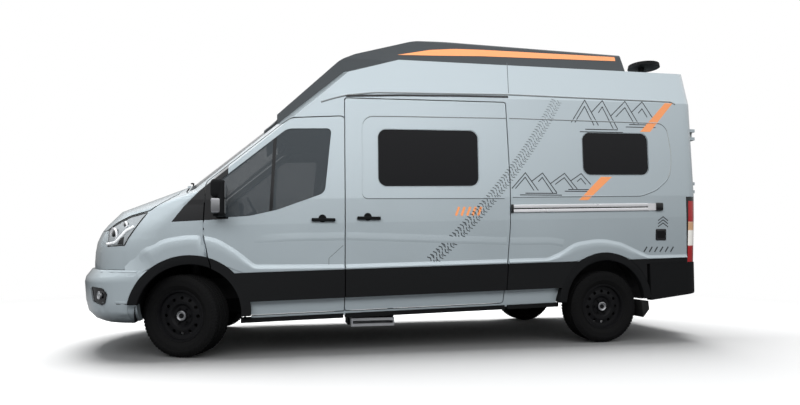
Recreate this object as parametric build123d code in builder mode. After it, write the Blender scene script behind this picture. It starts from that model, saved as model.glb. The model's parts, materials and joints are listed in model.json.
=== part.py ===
"""High-roof camper van: body panels, glazing, running gear and cab fittings.

Millimetres. X runs from the nose to the tail, Y to the van's right, Z up.
The floor is z = 0, and the origin lies under the middle of the overall length.
Stations ("s") are measured rearward from the front axle. The body sits slightly
nose down, so its level lines rise toward the tail by RISE per millimetre.
"""
from build123d import *
from math import atan, cos, degrees, hypot, radians, sin, sqrt
import os

os.makedirs("parts", exist_ok=True)

# ---- driving dimensions ------------------------------------------------------
WHEELBASE = 3750.0
FRONT_OVERHANG = 1008.0
REAR_OVERHANG = 1065.0       # rear axle to the middle of the rear doors
REAR_STEP_DEPTH = 150.0      # rear bumper step beyond the doors
HALF_WIDTH = 1030.0
RISE = 0.027
ROOF_RISE = 0.019
WALL = 70.0                  # a door or side wall over its whole thickness
SHUT_GAP = 9.0               # clearance round every door and lid
FIT = 0.3                    # close fit between pieces that do not move
GLASS_INSET = 5.0            # panes lie this far inside the outer skin
GLASS_THICK = 7.0

WHEEL_RADIUS = 340.0
FRONT_TRACK = 1736.0
REAR_TRACK = 1744.0
REST_STEER = 24.0            # the front wheels stand turned to the right
STEER_PIVOT_Y = 768.0

AXLE_X = FRONT_OVERHANG - (FRONT_OVERHANG + WHEELBASE + REAR_OVERHANG
                           + REAR_STEP_DEPTH) / 2
REAR_S = WHEELBASE + REAR_OVERHANG
FAR = 7000.0                 # longer than the van, for cuts that run right through
WIDE = 1500.0                # wider than the van over its mirrors
HIGH = 3200.0                # higher than the van
BELOW = -400.0

# ---- cabin hull --------------------------------------------------------------
SILL_Z = 287.0
BELT_Z = 1290.0
GUTTER_Z = 2200.0
HULL_TOP_Z = 2760.0
CROWN_Z = 2697.0
CROWN_RADIUS = 2850.0
SCREEN_S, SCREEN_Z = 29.0, 1570.0
SCREEN_SLOPE = 39.93
SCREEN_RADIUS = 2800.0
BROW_S, BROW_Z, BROW_SLOPE = 1322.0, 2606.0, 16.5
HULL_FRONT_S = -330.0
REAR_BULGE = 50.0
REAR_CORNER = 150.0
# level at the front axle, half width, how far the tail has come forward
RINGS = (
    (SILL_Z, 955.0, 0.0),
    (620.0, 1018.0, 0.0),
    (1080.0, HALF_WIDTH, 0.0),
    (BELT_Z, 1028.0, 0.0),
    (GUTTER_Z, 968.0, 14.0),
    (HULL_TOP_Z, 806.0, 26.0),
)

# ---- nose --------------------------------------------------------------------
NOSE_REAR_S = 300.0
NOSE_RADIUS = 1550.0
NOSE_CORNER = 560.0
BONNET_S, BONNET_Z, BONNET_SLOPE = -366.0, 1366.0, 22.4
BONNET_RADIUS = 3000.0
NOSE_TOP_Z = 1480.0
NOSE_SHELL = 45.0
SEAM_Z = 770.0               # seam between bumper and wings, level with the ground
# level, how far the front lies behind the front of the bumper, half width
NOSE_RINGS = (
    (700.0, 76.0, 1021.0),
    (883.0, 87.0, 1026.0),
    (972.0, 103.0, 1029.0),
    (1062.0, 144.0, 1030.0),
    (1120.0, 190.0, 1030.0),
    (1230.0, 300.0, 1029.0),
    (NOSE_TOP_Z, 560.0, 1012.0),
)
BUMPER_RINGS = (
    (215.0, 150.0, 890.0),
    (262.0, 84.0, 935.0),
    (350.0, 30.0, 985.0),
    (480.0, 10.0, 1020.0),
    (635.0, 0.0, 1033.0),
    (690.0, 10.0, 1034.0),
    (812.0, 70.0, 1032.0),
)
BUMPER_DEPTH = 95.0


def unit_along(a, b):
    """Unit vector from point a to point b of the plane."""
    span = hypot(b[0] - a[0], b[1] - a[1])
    return (b[0] - a[0]) / span, (b[1] - a[1]) / span


def rounded(corners):
    """Closed outline through (a, b, radius) corners; each radius is a tangent arc."""
    ends = []
    for i, (a, b, radius) in enumerate(corners):
        u = unit_along((a, b), corners[i - 1])
        v = unit_along((a, b), corners[(i + 1) % len(corners)])
        half_cos = sqrt((1 + u[0] * v[0] + u[1] * v[1]) / 2)
        half_sin = sqrt(1 - half_cos ** 2)
        run = radius * half_cos / half_sin
        mid = unit_along((0, 0), (u[0] + v[0], u[1] + v[1])) if radius else (0, 0)
        deep = radius / half_sin - radius
        ends.append(((a + u[0] * run, b + u[1] * run),
                     (a + mid[0] * deep, b + mid[1] * deep),
                     (a + v[0] * run, b + v[1] * run)))
    for i, (start, middle, end) in enumerate(ends):
        Line(ends[i - 1][2], start)
        if corners[i][2]:
            ThreePointArc(start, middle, end)


def lifted(corners):
    """Side-view corners with the body's rise toward the tail added to each level."""
    return tuple((s, z + RISE * s, radius) for s, z, radius in corners)


def side_plane(y=0.0):
    """Side view from the left: local x is the station, local y the height."""
    return Plane(origin=(AXLE_X, y, 0), x_dir=(1, 0, 0), z_dir=(0, -1, 0))


def ring_plane(z):
    """Level plane of the body, which rises toward the tail."""
    return Plane(origin=(AXLE_X, 0, z), x_dir=(1, 0, RISE), z_dir=(-RISE, 0, 1))


def slope_plane(s, z, slope):
    """Plane square to a line that climbs rearward; its local y points out of the body."""
    a = radians(slope)
    return Plane(origin=(AXLE_X + s, 0, z), x_dir=(0, 1, 0), z_dir=(cos(a), 0, sin(a)))


def cabin_hull(inset):
    """Closed solid of the cabin and load space, inset from the outer skin."""
    with BuildPart() as hull:
        for z, half, forward in RINGS:
            tail = REAR_S - forward - inset
            side = half - inset
            corner = REAR_CORNER - inset
            with BuildSketch(ring_plane(z)):
                with BuildLine():
                    rounded(((HULL_FRONT_S, -side, 0),
                             (tail - REAR_BULGE, -side, corner),
                             (tail, 0, 8000),
                             (tail - REAR_BULGE, side, corner),
                             (HULL_FRONT_S, side, 0)))
                make_face()
        loft(ruled=True)
        for s, z, slope, radius in (
                (SCREEN_S, SCREEN_Z, SCREEN_SLOPE, SCREEN_RADIUS),
                (BROW_S, BROW_Z, BROW_SLOPE, SCREEN_RADIUS),
                (0, CROWN_Z, degrees(atan(ROOF_RISE)), CROWN_RADIUS)):
            with BuildSketch(slope_plane(s, z, slope)):
                with Locations((0, -radius)):
                    Circle(radius - inset)
            extrude(amount=FAR, both=True, mode=Mode.INTERSECT)
    return hull.part


def nose_ring(front, half, inset):
    """Plan outline of the nose: straight sides, corner arcs and a bowed front."""
    radius = NOSE_RADIUS - inset
    corner = NOSE_CORNER - inset
    side = half - inset
    centre = front + NOSE_RADIUS
    corner_y = side - corner
    corner_s = centre - sqrt((radius - corner) ** 2 - corner_y ** 2)
    u = unit_along((centre, 0), (corner_s, corner_y))
    turn = unit_along((0, 0), (u[0], u[1] + 1))
    touch = (centre + u[0] * radius, u[1] * radius)
    middle = (corner_s + turn[0] * corner, corner_y + turn[1] * corner)
    Line((NOSE_REAR_S, -side), (corner_s, -side))
    ThreePointArc((corner_s, -side), (middle[0], -middle[1]), (touch[0], -touch[1]))
    ThreePointArc((touch[0], -touch[1]), (centre - radius, 0), touch)
    ThreePointArc(touch, middle, (corner_s, side))
    Line((corner_s, side), (NOSE_REAR_S, side))
    Line((NOSE_REAR_S, side), (NOSE_REAR_S, -side))


def nose_hull(rings, inset):
    """Solid of the nose from plan sections, inset from the outer skin."""
    with BuildPart() as hull:
        for z, back, half in rings:
            with BuildSketch(ring_plane(z)):
                with BuildLine():
                    nose_ring(back - FRONT_OVERHANG, half, inset)
                make_face()
        loft(ruled=True)
        with BuildSketch(slope_plane(BONNET_S, BONNET_Z, BONNET_SLOPE)):
            with Locations((0, -BONNET_RADIUS)):
                Circle(BONNET_RADIUS - inset)
        extrude(amount=FAR, both=True, mode=Mode.INTERSECT)
    return hull.part


def side_prism(corners, y_from=-WIDE, y_to=WIDE):
    """Solid of a side-view outline between two distances from the middle."""
    with BuildPart() as prism:
        with BuildSketch(side_plane(y_to)):
            with BuildLine():
                rounded(corners)
            make_face()
        extrude(amount=y_to - y_from)
    return prism.part


def side_drum(s, z, radius, y_from=-WIDE, y_to=WIDE):
    """Solid disc across the van between two distances from the middle."""
    with BuildPart() as drum:
        with BuildSketch(side_plane(y_to)):
            with Locations((s, z)):
                Circle(radius)
        extrude(amount=y_to - y_from)
    return drum.part


def block(s_from, s_to, y_from, y_to, z_from, z_to):
    """Box between stations, distances from the middle and levels of the body."""
    with BuildPart() as box:
        with BuildSketch(ring_plane(z_from)):
            with Locations(((s_from + s_to) / 2, (y_from + y_to) / 2)):
                Rectangle(s_to - s_from, y_to - y_from)
        extrude(amount=z_to - z_from)
    return box.part


def level(s, y, z):
    """Plane level with the ground through a point."""
    return Plane(origin=(AXLE_X + s, y, z))


def front_plate(s_from, s_to, y_from, y_to, z_from, z_to):
    """Box square to the ground."""
    with BuildPart() as box:
        with BuildSketch(level((s_from + s_to) / 2, (y_from + y_to) / 2, z_from)):
            Rectangle(s_to - s_from, y_to - y_from)
        extrude(amount=z_to - z_from)
    return box.part


def front_prism(corners, s_from, s_to):
    """Solid of a front-view (y, z) outline between two stations."""
    with BuildPart() as prism:
        with BuildSketch(Plane(origin=(AXLE_X + s_from, 0, 0), x_dir=(0, 1, 0),
                               z_dir=(1, 0, 0))):
            with BuildLine():
                rounded(corners)
            make_face()
        extrude(amount=s_to - s_from)
    return prism.part


def strap_z(low):
    """Levels of the door's strap between the two eyes of a rear hinge."""
    return low + REAR_EYE_TALL + 0.5, low + REAR_HINGE_TALL - REAR_EYE_TALL - 0.5


def finish(part, name):
    """Label a finished piece and write it."""
    part.label = name
    export_step(part, f"parts/{name}.step")


SIDES = (("left", -1), ("right", 1))

# ---- outlines in side view (station, height, corner radius) -------------------
ARCH_S, ARCH_Z = 10.0, 361.0
REAR_ARCH_S, REAR_ARCH_Z = 3738.0, 378.0
ARCH_OUTER = 480.0
ARCH_INNER = 405.0
ARCH_FOOT_Z = 302.0
CLADDING_Z = (442.0, 682.0)
CLADDING_Y = 1042.0
CLADDING_ROOT_Y = HALF_WIDTH - 46    # buried in the side wall
DOOR_INNER_Y = 880.0                 # side doors lie wholly outside this
DOOR_FRONT_S = 120.0
WING_REAR_S = 168.0
WING_INNER_S, WING_INNER_Y = 30.0, 860.0    # the wings leave the footwell free here
DOOR_REAR_S = 1266.0
DOOR_FOOT_Z = 325.0
FRONT_DOOR = (
    (DOOR_FRONT_S, 1112, 8), (DOOR_FRONT_S, 980, 150), (177, 748, 0), (177, 330, 0),
    (DOOR_REAR_S, DOOR_FOOT_Z + 34, 12), (DOOR_REAR_S, 2036, 30),
    (798, 1997, 200), (138, 1450, 12),
)
DOOR_WINDOW = (
    (285, 1150, 15), (252, 1462, 20), (785, 1908, 130), (1158, 1926, 35),
    (1098, 1368, 80), (700, 1218, 500), (480, 1165, 300),
)
SLIDER_FRONT_S = DOOR_REAR_S + SHUT_GAP
SLIDER_REAR_S = 2772.0
SLIDING_DOOR = lifted((
    (SLIDER_FRONT_S, DOOR_FOOT_Z, 20), (SLIDER_REAR_S - 48, DOOR_FOOT_Z, 20),
    (SLIDER_REAR_S, 1020, 0), (SLIDER_REAR_S, 1460, 0),
    (SLIDER_REAR_S - 24, 2160, 20), (SLIDER_FRONT_S, 2160, 20),
))
WINDOW_Z = (1392.0, 1894.0)
SLIDER_WINDOW_S = (1560.0, 2474.0)
REAR_WINDOW_S = (3514.0, 4202.0)
REAR_WINDOW_FOOT_Z = 1492.0
WINDOW_CORNER = 75.0


def window(s_from, s_to, z_from, z_to, inset=0.0):
    """Side window outline with even corner radii."""
    corner = WINDOW_CORNER - inset
    return lifted(((s_from + inset, z_from + inset, corner),
                   (s_to - inset, z_from + inset, corner),
                   (s_to - inset, z_to - inset, corner),
                   (s_from + inset, z_to - inset, corner)))


# side, station range and lower level of each fixed side window
SIDE_WINDOWS = (
    ("left", *SLIDER_WINDOW_S, WINDOW_Z[0]),
    ("left", *REAR_WINDOW_S, REAR_WINDOW_FOOT_Z),
    ("right", *SLIDER_WINDOW_S, WINDOW_Z[0]),
    ("right", *REAR_WINDOW_S, REAR_WINDOW_FOOT_Z),
)
ROOF_LINE = ((-400, 1700, 0), (560, 2032, 0), (1294, 2233, 60),
             (REAR_S + 200, GUTTER_Z + RISE * (REAR_S + 200), 0),
             (REAR_S + 200, 3200, 0), (-400, 3200, 0))
SCREEN = ((-868, 1300, 40), (868, 1300, 40), (795, 2068, 70), (-795, 2068, 70))
SCREEN_BACK_S = 1000.0
REAR_DOOR_Y = 858.0
REAR_DOOR_Z = (787.0, 2294.0)
REAR_DOOR_MIDDLE = SHUT_GAP / 2
REAR_DOOR_CORNER = 40.0
TAIL_S = (4500.0, 5000.0)    # stations that hold the whole tail panel
REAR_HINGE_S = 4788.0
REAR_HINGE_Y = 868.0
REAR_HINGE_Z = (1450.0, 1980.0)
REAR_HINGE_TALL = 110.0
REAR_EYE_TALL = 30.0
HINGE_RADIUS = 10.0
HINGE_PIN = 6.0
RUNNING = 0.05               # radial clearance of a shaft in its bore
REAR_GLASS_Y = (150.0, 730.0)
REAR_GLASS_Z = (1330.0, 1900.0)
LAMP_S = 4622.0
LAMP_Y = 884.0
LAMP_Z = (640.0, 1277.0)
TAIL_BUMPER_S = 4196.0
TAIL_BUMPER_Z = 636.0
BONNET_LINE = ((-1100, 1040, 0), (-690, 1046, 60), (-590, 1112, 60),
               (-470, 1164, 100), (-300, 1206, 60), (-112, 1356, 0),
               (-112, 1800, 0), (-1100, 1800, 0))
HEADLAMP = ((-1100, 905, 0), (-490, 915, 15), (-455, 985, 60), (-352, 1132, 200),
            (-305, 1196, 8), (-470, 1155, 100), (-590, 1103, 60),
            (-690, 1037, 60), (-1100, 1031, 0))
HEADLAMP_INNER_Y = 700.0
HEADLAMP_DEPTH = 95.0
BONNET_DEPTH = 28.0
GRILLE_Y = 470.0
GRILLE_Z = (800.0, 1030.0)
GRILLE_BACK_S = -500.0
GRILLE_SIDE_FIT = 0.5
BUMPER_REAR_S = -384.0


half_space = {side: block(-FAR, FAR, *sorted((0.0, sign * FAR)), -FAR, FAR)
              for side, sign in SIDES}
hull_outer = cabin_hull(0)
hull_inner = cabin_hull(WALL)
hull_core = cabin_hull(WALL + FIT)
glass_outer = cabin_hull(GLASS_INSET)
glass_inner = cabin_hull(GLASS_INSET + GLASS_THICK)
nose_outer = nose_hull(NOSE_RINGS, 0)
nose_inner = nose_hull(NOSE_RINGS, NOSE_SHELL)
nose_core = nose_hull(NOSE_RINGS, NOSE_SHELL + FIT)
nose_under = nose_hull(NOSE_RINGS, BONNET_DEPTH)
lens_back = nose_hull(NOSE_RINGS, HEADLAMP_DEPTH)
bumper_outer = nose_hull(BUMPER_RINGS, 0)
bumper_inner = nose_hull(BUMPER_RINGS, BUMPER_DEPTH)

above_gutter = side_prism(ROOF_LINE)
screen_prism = front_prism(SCREEN, -400, SCREEN_BACK_S)


def grown(corners, gap):
    """Side-view prism whose outline is a gap larger all round."""
    with BuildPart() as prism:
        with BuildSketch(side_plane(WIDE)):
            with BuildLine():
                rounded(corners)
            make_face()
            offset(amount=gap, kind=Kind.INTERSECTION)
        extrude(amount=2 * WIDE)
    return prism.part


front_opening = grown(FRONT_DOOR, SHUT_GAP)
slider_opening = grown(SLIDING_DOOR, SHUT_GAP)
front_arch = side_drum(ARCH_S, ARCH_Z, ARCH_OUTER)
rear_arch = side_drum(REAR_ARCH_S, REAR_ARCH_Z, ARCH_OUTER)
rear_opening = front_prism((
    (-REAR_DOOR_Y - SHUT_GAP, REAR_DOOR_Z[0] - SHUT_GAP, REAR_DOOR_CORNER + 10),
    (REAR_DOOR_Y + SHUT_GAP, REAR_DOOR_Z[0] - SHUT_GAP, REAR_DOOR_CORNER + 10),
    (REAR_DOOR_Y + SHUT_GAP, REAR_DOOR_Z[1] + SHUT_GAP, REAR_DOOR_CORNER + 10),
    (-REAR_DOOR_Y - SHUT_GAP, REAR_DOOR_Z[1] + SHUT_GAP, REAR_DOOR_CORNER + 10)), *TAIL_S)

# ---- roof, body sides and rear doors -----------------------------------------


sill_cut = block(-FAR, FAR, -WIDE, WIDE, BELOW, SILL_Z)
wing_zone = block(-FAR, WING_REAR_S, -WIDE, WIDE, BELOW, 1250)
tail_bumper_zone = block(TAIL_BUMPER_S, FAR, -WIDE, WIDE, BELOW, TAIL_BUMPER_Z)
windows = {}
for side, s_from, s_to, z_from in SIDE_WINDOWS:
    sign = dict(SIDES)[side]
    near, far = sorted((sign * 700.0, sign * WIDE))
    windows.setdefault(side, []).append(
        side_prism(window(s_from, s_to, z_from, WINDOW_Z[1]), near, far))

with BuildPart() as cladding_band:
    add(block(ARCH_S + 200, TAIL_BUMPER_S, -CLADDING_Y, CLADDING_Y, *CLADDING_Z))
    add(block(-FAR, FAR, 6 - CLADDING_ROOT_Y, CLADDING_ROOT_Y - 6, 0, 1200), mode=Mode.SUBTRACT)
    for arch in (front_arch, rear_arch):
        add(arch, mode=Mode.SUBTRACT)

with BuildPart() as shell:
    add(hull_outer)
    add(hull_inner, mode=Mode.SUBTRACT)
    add(cladding_band.part)
    add(sill_cut, mode=Mode.SUBTRACT)
    add(wing_zone, mode=Mode.SUBTRACT)
    add(nose_outer, mode=Mode.SUBTRACT)
    add(screen_prism, mode=Mode.SUBTRACT)

with BuildPart() as high_roof:
    add(shell.part)
    add(above_gutter, mode=Mode.INTERSECT)
    add(rear_opening, mode=Mode.SUBTRACT)
finish(high_roof.part, "high_roof")

PILLAR_S = (1205.0, 1330.0)
PILLAR_INSET = (WALL + 8, WALL + 48)
pillar_outer = cabin_hull(PILLAR_INSET[0])
pillar_inner = cabin_hull(PILLAR_INSET[1])
for side, sign in SIDES:
    with BuildPart() as post:
        add(pillar_outer)
        add(pillar_inner, mode=Mode.SUBTRACT)
        add(block(*PILLAR_S, -WIDE, WIDE, SILL_Z, GUTTER_Z), mode=Mode.INTERSECT)
    with BuildPart() as post_ends:
        add(hull_outer)
        add(pillar_inner, mode=Mode.SUBTRACT)
        add(block(PILLAR_S[0], SLIDER_FRONT_S - SHUT_GAP - 2, -WIDE, WIDE, 2040, GUTTER_Z),
            mode=Mode.INTERSECT)
    with BuildPart() as post_foot:
        add(hull_outer)
        add(pillar_inner, mode=Mode.SUBTRACT)
        add(block(*PILLAR_S, -WIDE, WIDE, SILL_Z, DOOR_FOOT_Z - SHUT_GAP - 2),
            mode=Mode.INTERSECT)
    with BuildPart() as body_side:
        add(shell.part)
        add(half_space[side], mode=Mode.INTERSECT)
        add(above_gutter, mode=Mode.SUBTRACT)
        add(front_opening, mode=Mode.SUBTRACT)
        if side == "left":
            add(slider_opening, mode=Mode.SUBTRACT)
        add(post.part)
        add(post_ends.part)
        add(post_foot.part)
        add(half_space[side], mode=Mode.INTERSECT)
        add(above_gutter, mode=Mode.SUBTRACT)
        for opening in windows[side]:
            add(opening, mode=Mode.SUBTRACT)
        add(rear_opening, mode=Mode.SUBTRACT)
        add(rear_arch, mode=Mode.SUBTRACT)
        add(front_arch, mode=Mode.SUBTRACT)
        add(tail_bumper_zone, mode=Mode.SUBTRACT)
        for lamp_sign in (-1, 1):
            add(block(LAMP_S, FAR, *sorted((lamp_sign * LAMP_Y, lamp_sign * WIDE)), *LAMP_Z),
                mode=Mode.SUBTRACT)
        for low in REAR_HINGE_Z:
            eye_y = sorted((sign * REAR_HINGE_Y, sign * (REAR_HINGE_Y + 50)))
            for z in (low, low + REAR_HINGE_TALL - REAR_EYE_TALL):
                add(front_plate(REAR_HINGE_S - 60, REAR_HINGE_S + 5, *eye_y, z,
                                z + REAR_EYE_TALL))
                with BuildSketch(level(REAR_HINGE_S, sign * REAR_HINGE_Y, z)):
                    Circle(HINGE_RADIUS)
                extrude(amount=REAR_EYE_TALL)
            with BuildSketch(level(REAR_HINGE_S, sign * REAR_HINGE_Y, low)):
                Circle(HINGE_PIN)
            extrude(amount=REAR_HINGE_TALL)
    finish(body_side.part, f"body_side_{side}")

with BuildPart() as tail_lamps:
    add(hull_outer)
    add(hull_inner, mode=Mode.SUBTRACT)
    with BuildSketch(ring_plane(LAMP_Z[0] + FIT)):
        for sign in (-1, 1):
            with Locations((LAMP_S + 200 + FIT, sign * (LAMP_Y + 200 + FIT))):
                Rectangle(400, 400)
    extrude(amount=LAMP_Z[1] - LAMP_Z[0] - 2 * FIT, mode=Mode.INTERSECT)
finish(tail_lamps.part, "tail_lamps")

for side, sign in SIDES:
    near, far = sorted((sign * REAR_DOOR_MIDDLE, sign * REAR_DOOR_Y))
    glass_near, glass_far = sorted((sign * REAR_GLASS_Y[0], sign * REAR_GLASS_Y[1]))
    door_zone = front_prism(((near, REAR_DOOR_Z[0], REAR_DOOR_CORNER),
                             (far, REAR_DOOR_Z[0], REAR_DOOR_CORNER),
                             (far, REAR_DOOR_Z[1], REAR_DOOR_CORNER),
                             (near, REAR_DOOR_Z[1], REAR_DOOR_CORNER)), *TAIL_S)
    glass_zone = front_prism(((glass_near, REAR_GLASS_Z[0], 60), (glass_far, REAR_GLASS_Z[0], 60),
                              (glass_far, REAR_GLASS_Z[1], 60), (glass_near, REAR_GLASS_Z[1], 60)),
                             *TAIL_S)
    with BuildPart() as rear_door:
        add(hull_outer)
        add(hull_inner, mode=Mode.SUBTRACT)
        add(door_zone, mode=Mode.INTERSECT)
        add(glass_zone, mode=Mode.SUBTRACT)
        for low in REAR_HINGE_Z:
            strap_y = sorted((sign * (REAR_DOOR_Y + 5), sign * (REAR_DOOR_Y - 60)))
            add(front_plate(REAR_HINGE_S - 40, REAR_HINGE_S + 5, *strap_y, *strap_z(low)))
            with BuildSketch(level(REAR_HINGE_S, sign * REAR_HINGE_Y, strap_z(low)[0])):
                Circle(HINGE_RADIUS)
            extrude(amount=strap_z(low)[1] - strap_z(low)[0])
            with BuildSketch(level(REAR_HINGE_S, sign * REAR_HINGE_Y, low)):
                Circle(HINGE_PIN + RUNNING)
            extrude(amount=REAR_HINGE_TALL, mode=Mode.SUBTRACT)
        add(hull_inner, mode=Mode.SUBTRACT)
    finish(rear_door.part, f"rear_door_{side}")
    with BuildPart() as rear_glass:
        add(glass_outer)
        add(glass_inner, mode=Mode.SUBTRACT)
        add(glass_zone, mode=Mode.INTERSECT)
    finish(rear_glass.part, f"rear_glass_{side}")

# ---- fixed glass -----------------------------------------------------------------
with BuildPart() as windscreen:
    add(glass_outer)
    add(glass_inner, mode=Mode.SUBTRACT)
    add(screen_prism, mode=Mode.INTERSECT)
    add(nose_outer, mode=Mode.SUBTRACT)
    add(block(-FAR, SCREEN_BACK_S, -WIDE, WIDE, 1150, 2400), mode=Mode.INTERSECT)
finish(windscreen.part, "windscreen")

with BuildPart() as side_windows:
    add(glass_outer)
    add(glass_inner, mode=Mode.SUBTRACT)
    with BuildPart(mode=Mode.PRIVATE) as panes:
        for side, _ in SIDES:
            for opening in windows[side]:
                add(opening)
    add(panes.part, mode=Mode.INTERSECT)
finish(side_windows.part, "side_windows")

# ---- sliding door and its rail ----------------------------------------------------
with BuildPart() as sliding_door:
    add(hull_outer)
    add(hull_inner, mode=Mode.SUBTRACT)
    add(cladding_band.part)
    add(side_prism(SLIDING_DOOR, -WIDE, -DOOR_INNER_Y), mode=Mode.INTERSECT)
    for opening in windows["left"]:
        add(opening, mode=Mode.SUBTRACT)
finish(sliding_door.part, "sliding_door")

RAIL_S = (SLIDER_REAR_S + 12, 4330.0)
RAIL_Z = (1148.0, 1216.0)
RAIL_PROUD = 14.0
with BuildPart() as slide_rail:
    add(block(*RAIL_S, -HALF_WIDTH - RAIL_PROUD, -HALF_WIDTH + 25, *RAIL_Z))
    add(hull_outer, mode=Mode.SUBTRACT)
finish(slide_rail.part, "slide_rail")

# ---- front doors ------------------------------------------------------------------
DOOR_HINGE_S = DOOR_FRONT_S - SHUT_GAP / 2
DOOR_HINGE_Y = HALF_WIDTH - 1
DOOR_HINGE_Z = (1000.0, 1062.0)
DOOR_HINGE_TALL = 45.0
DOOR_HINGE_RADIUS = 3.8
DOOR_HINGE_PIN = 2.0
with BuildPart() as rear_edge_relief:
    add(glass_inner)
    add(block(DOOR_REAR_S - 10, DOOR_REAR_S + 60, -WIDE, WIDE, 200, 2200), mode=Mode.INTERSECT)
MIRROR_S = (190.0, 300.0)
MIRROR_Y = (1075.0, 1240.0)
MIRROR_Z = (1150.0, 1440.0)
MIRROR_ARM_S = (192.0, 242.0)
MIRROR_ARM_Z = (1165.0, 1225.0)
for side, sign in SIDES:
    near, far = sorted((sign * DOOR_INNER_Y, sign * WIDE))
    with BuildPart() as front_door:
        add(hull_outer)
        add(hull_inner, mode=Mode.SUBTRACT)
        add(cladding_band.part)
        add(side_prism(FRONT_DOOR, near, far), mode=Mode.INTERSECT)
        add(side_drum(ARCH_S, ARCH_Z, ARCH_OUTER, *sorted((sign * CLADDING_ROOT_Y,
                                                           sign * CLADDING_Y))))
        add(side_prism(FRONT_DOOR, near, far), mode=Mode.INTERSECT)
        add(side_drum(ARCH_S, ARCH_Z, ARCH_INNER), mode=Mode.SUBTRACT)
        add(side_prism(DOOR_WINDOW, near, far), mode=Mode.SUBTRACT)
        add(rear_edge_relief.part, mode=Mode.SUBTRACT)
        for low in DOOR_HINGE_Z:
            eye_low, eye_high = low + 11, low + DOOR_HINGE_TALL - 11
            with BuildSketch(level(DOOR_HINGE_S, sign * DOOR_HINGE_Y, eye_low)):
                Circle(DOOR_HINGE_RADIUS)
                with Locations((4, -sign * 1.5)):
                    Rectangle(8, 4.6)
            extrude(amount=eye_high - eye_low)
            with BuildSketch(level(DOOR_HINGE_S, sign * DOOR_HINGE_Y, low)):
                Circle(DOOR_HINGE_PIN + RUNNING)
            extrude(amount=DOOR_HINGE_TALL, mode=Mode.SUBTRACT)
    finish(front_door.part, f"front_door_{side}")
    with BuildPart() as door_glass:
        add(glass_outer)
        add(glass_inner, mode=Mode.SUBTRACT)
        add(side_prism(DOOR_WINDOW, near, far), mode=Mode.INTERSECT)
    finish(door_glass.part, f"door_glass_{side}")
    with BuildPart() as mirror:
        with BuildSketch(side_plane(max(sign * y for y in MIRROR_Y))):
            with Locations((sum(MIRROR_S) / 2, sum(MIRROR_Z) / 2)):
                RectangleRounded(MIRROR_S[1] - MIRROR_S[0], MIRROR_Z[1] - MIRROR_Z[0], 40)
        extrude(amount=MIRROR_Y[1] - MIRROR_Y[0])
        add(block(*MIRROR_ARM_S, *sorted((sign * 1000, sign * (MIRROR_Y[0] + 1))),
                  *MIRROR_ARM_Z))
        add(hull_outer, mode=Mode.SUBTRACT)
    finish(mirror.part, f"mirror_{side}")

# ---- nose ---------------------------------------------------------------------------
bonnet_prism = side_prism(BONNET_LINE)
bonnet_clear = grown(BONNET_LINE, SHUT_GAP)
lamp_prism = side_prism(HEADLAMP)
lamp_clear = grown(HEADLAMP, FIT)
middle_of_nose = block(-FAR, FAR, -HEADLAMP_INNER_Y, HEADLAMP_INNER_Y, BELOW, HIGH)
BONNET_HINGE_S, BONNET_HINGE_Z = -107.5, 1484.0
BONNET_HINGE_RADIUS = 7.0
BONNET_PIN = 3.0
BONNET_PIN_LONG = 50.0
BONNET_EYE = 12.0
BONNET_LUG_Y = 160.0
BONNET_EYE_Y = (BONNET_LUG_Y - 19, BONNET_LUG_Y + 19)
grille_zone = block(-FAR, GRILLE_BACK_S, -GRILLE_Y, GRILLE_Y, *GRILLE_Z)
with BuildPart() as bonnet:
    add(nose_outer)
    add(nose_under, mode=Mode.SUBTRACT)
    add(bonnet_prism, mode=Mode.INTERSECT)
    for _, sign in SIDES:
        with BuildSketch(side_plane(sign * BONNET_LUG_Y + BONNET_EYE)):
            with Locations((BONNET_HINGE_S, BONNET_HINGE_Z)):
                Circle(BONNET_HINGE_RADIUS)
            with Locations((BONNET_HINGE_S - 12, BONNET_HINGE_Z - 2)):
                Rectangle(24, 10)
            with Locations((BONNET_HINGE_S - 18, BONNET_HINGE_Z - 16)):
                Rectangle(12, 30)
        extrude(amount=2 * BONNET_EYE)
        with BuildSketch(side_plane(sign * BONNET_LUG_Y + BONNET_PIN_LONG / 2)):
            with Locations((BONNET_HINGE_S, BONNET_HINGE_Z)):
                Circle(BONNET_PIN + RUNNING)
        extrude(amount=BONNET_PIN_LONG, mode=Mode.SUBTRACT)
finish(bonnet.part, "bonnet")

with BuildPart() as lamp_openings:
    add(lamp_clear)
    add(middle_of_nose, mode=Mode.SUBTRACT)

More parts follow.
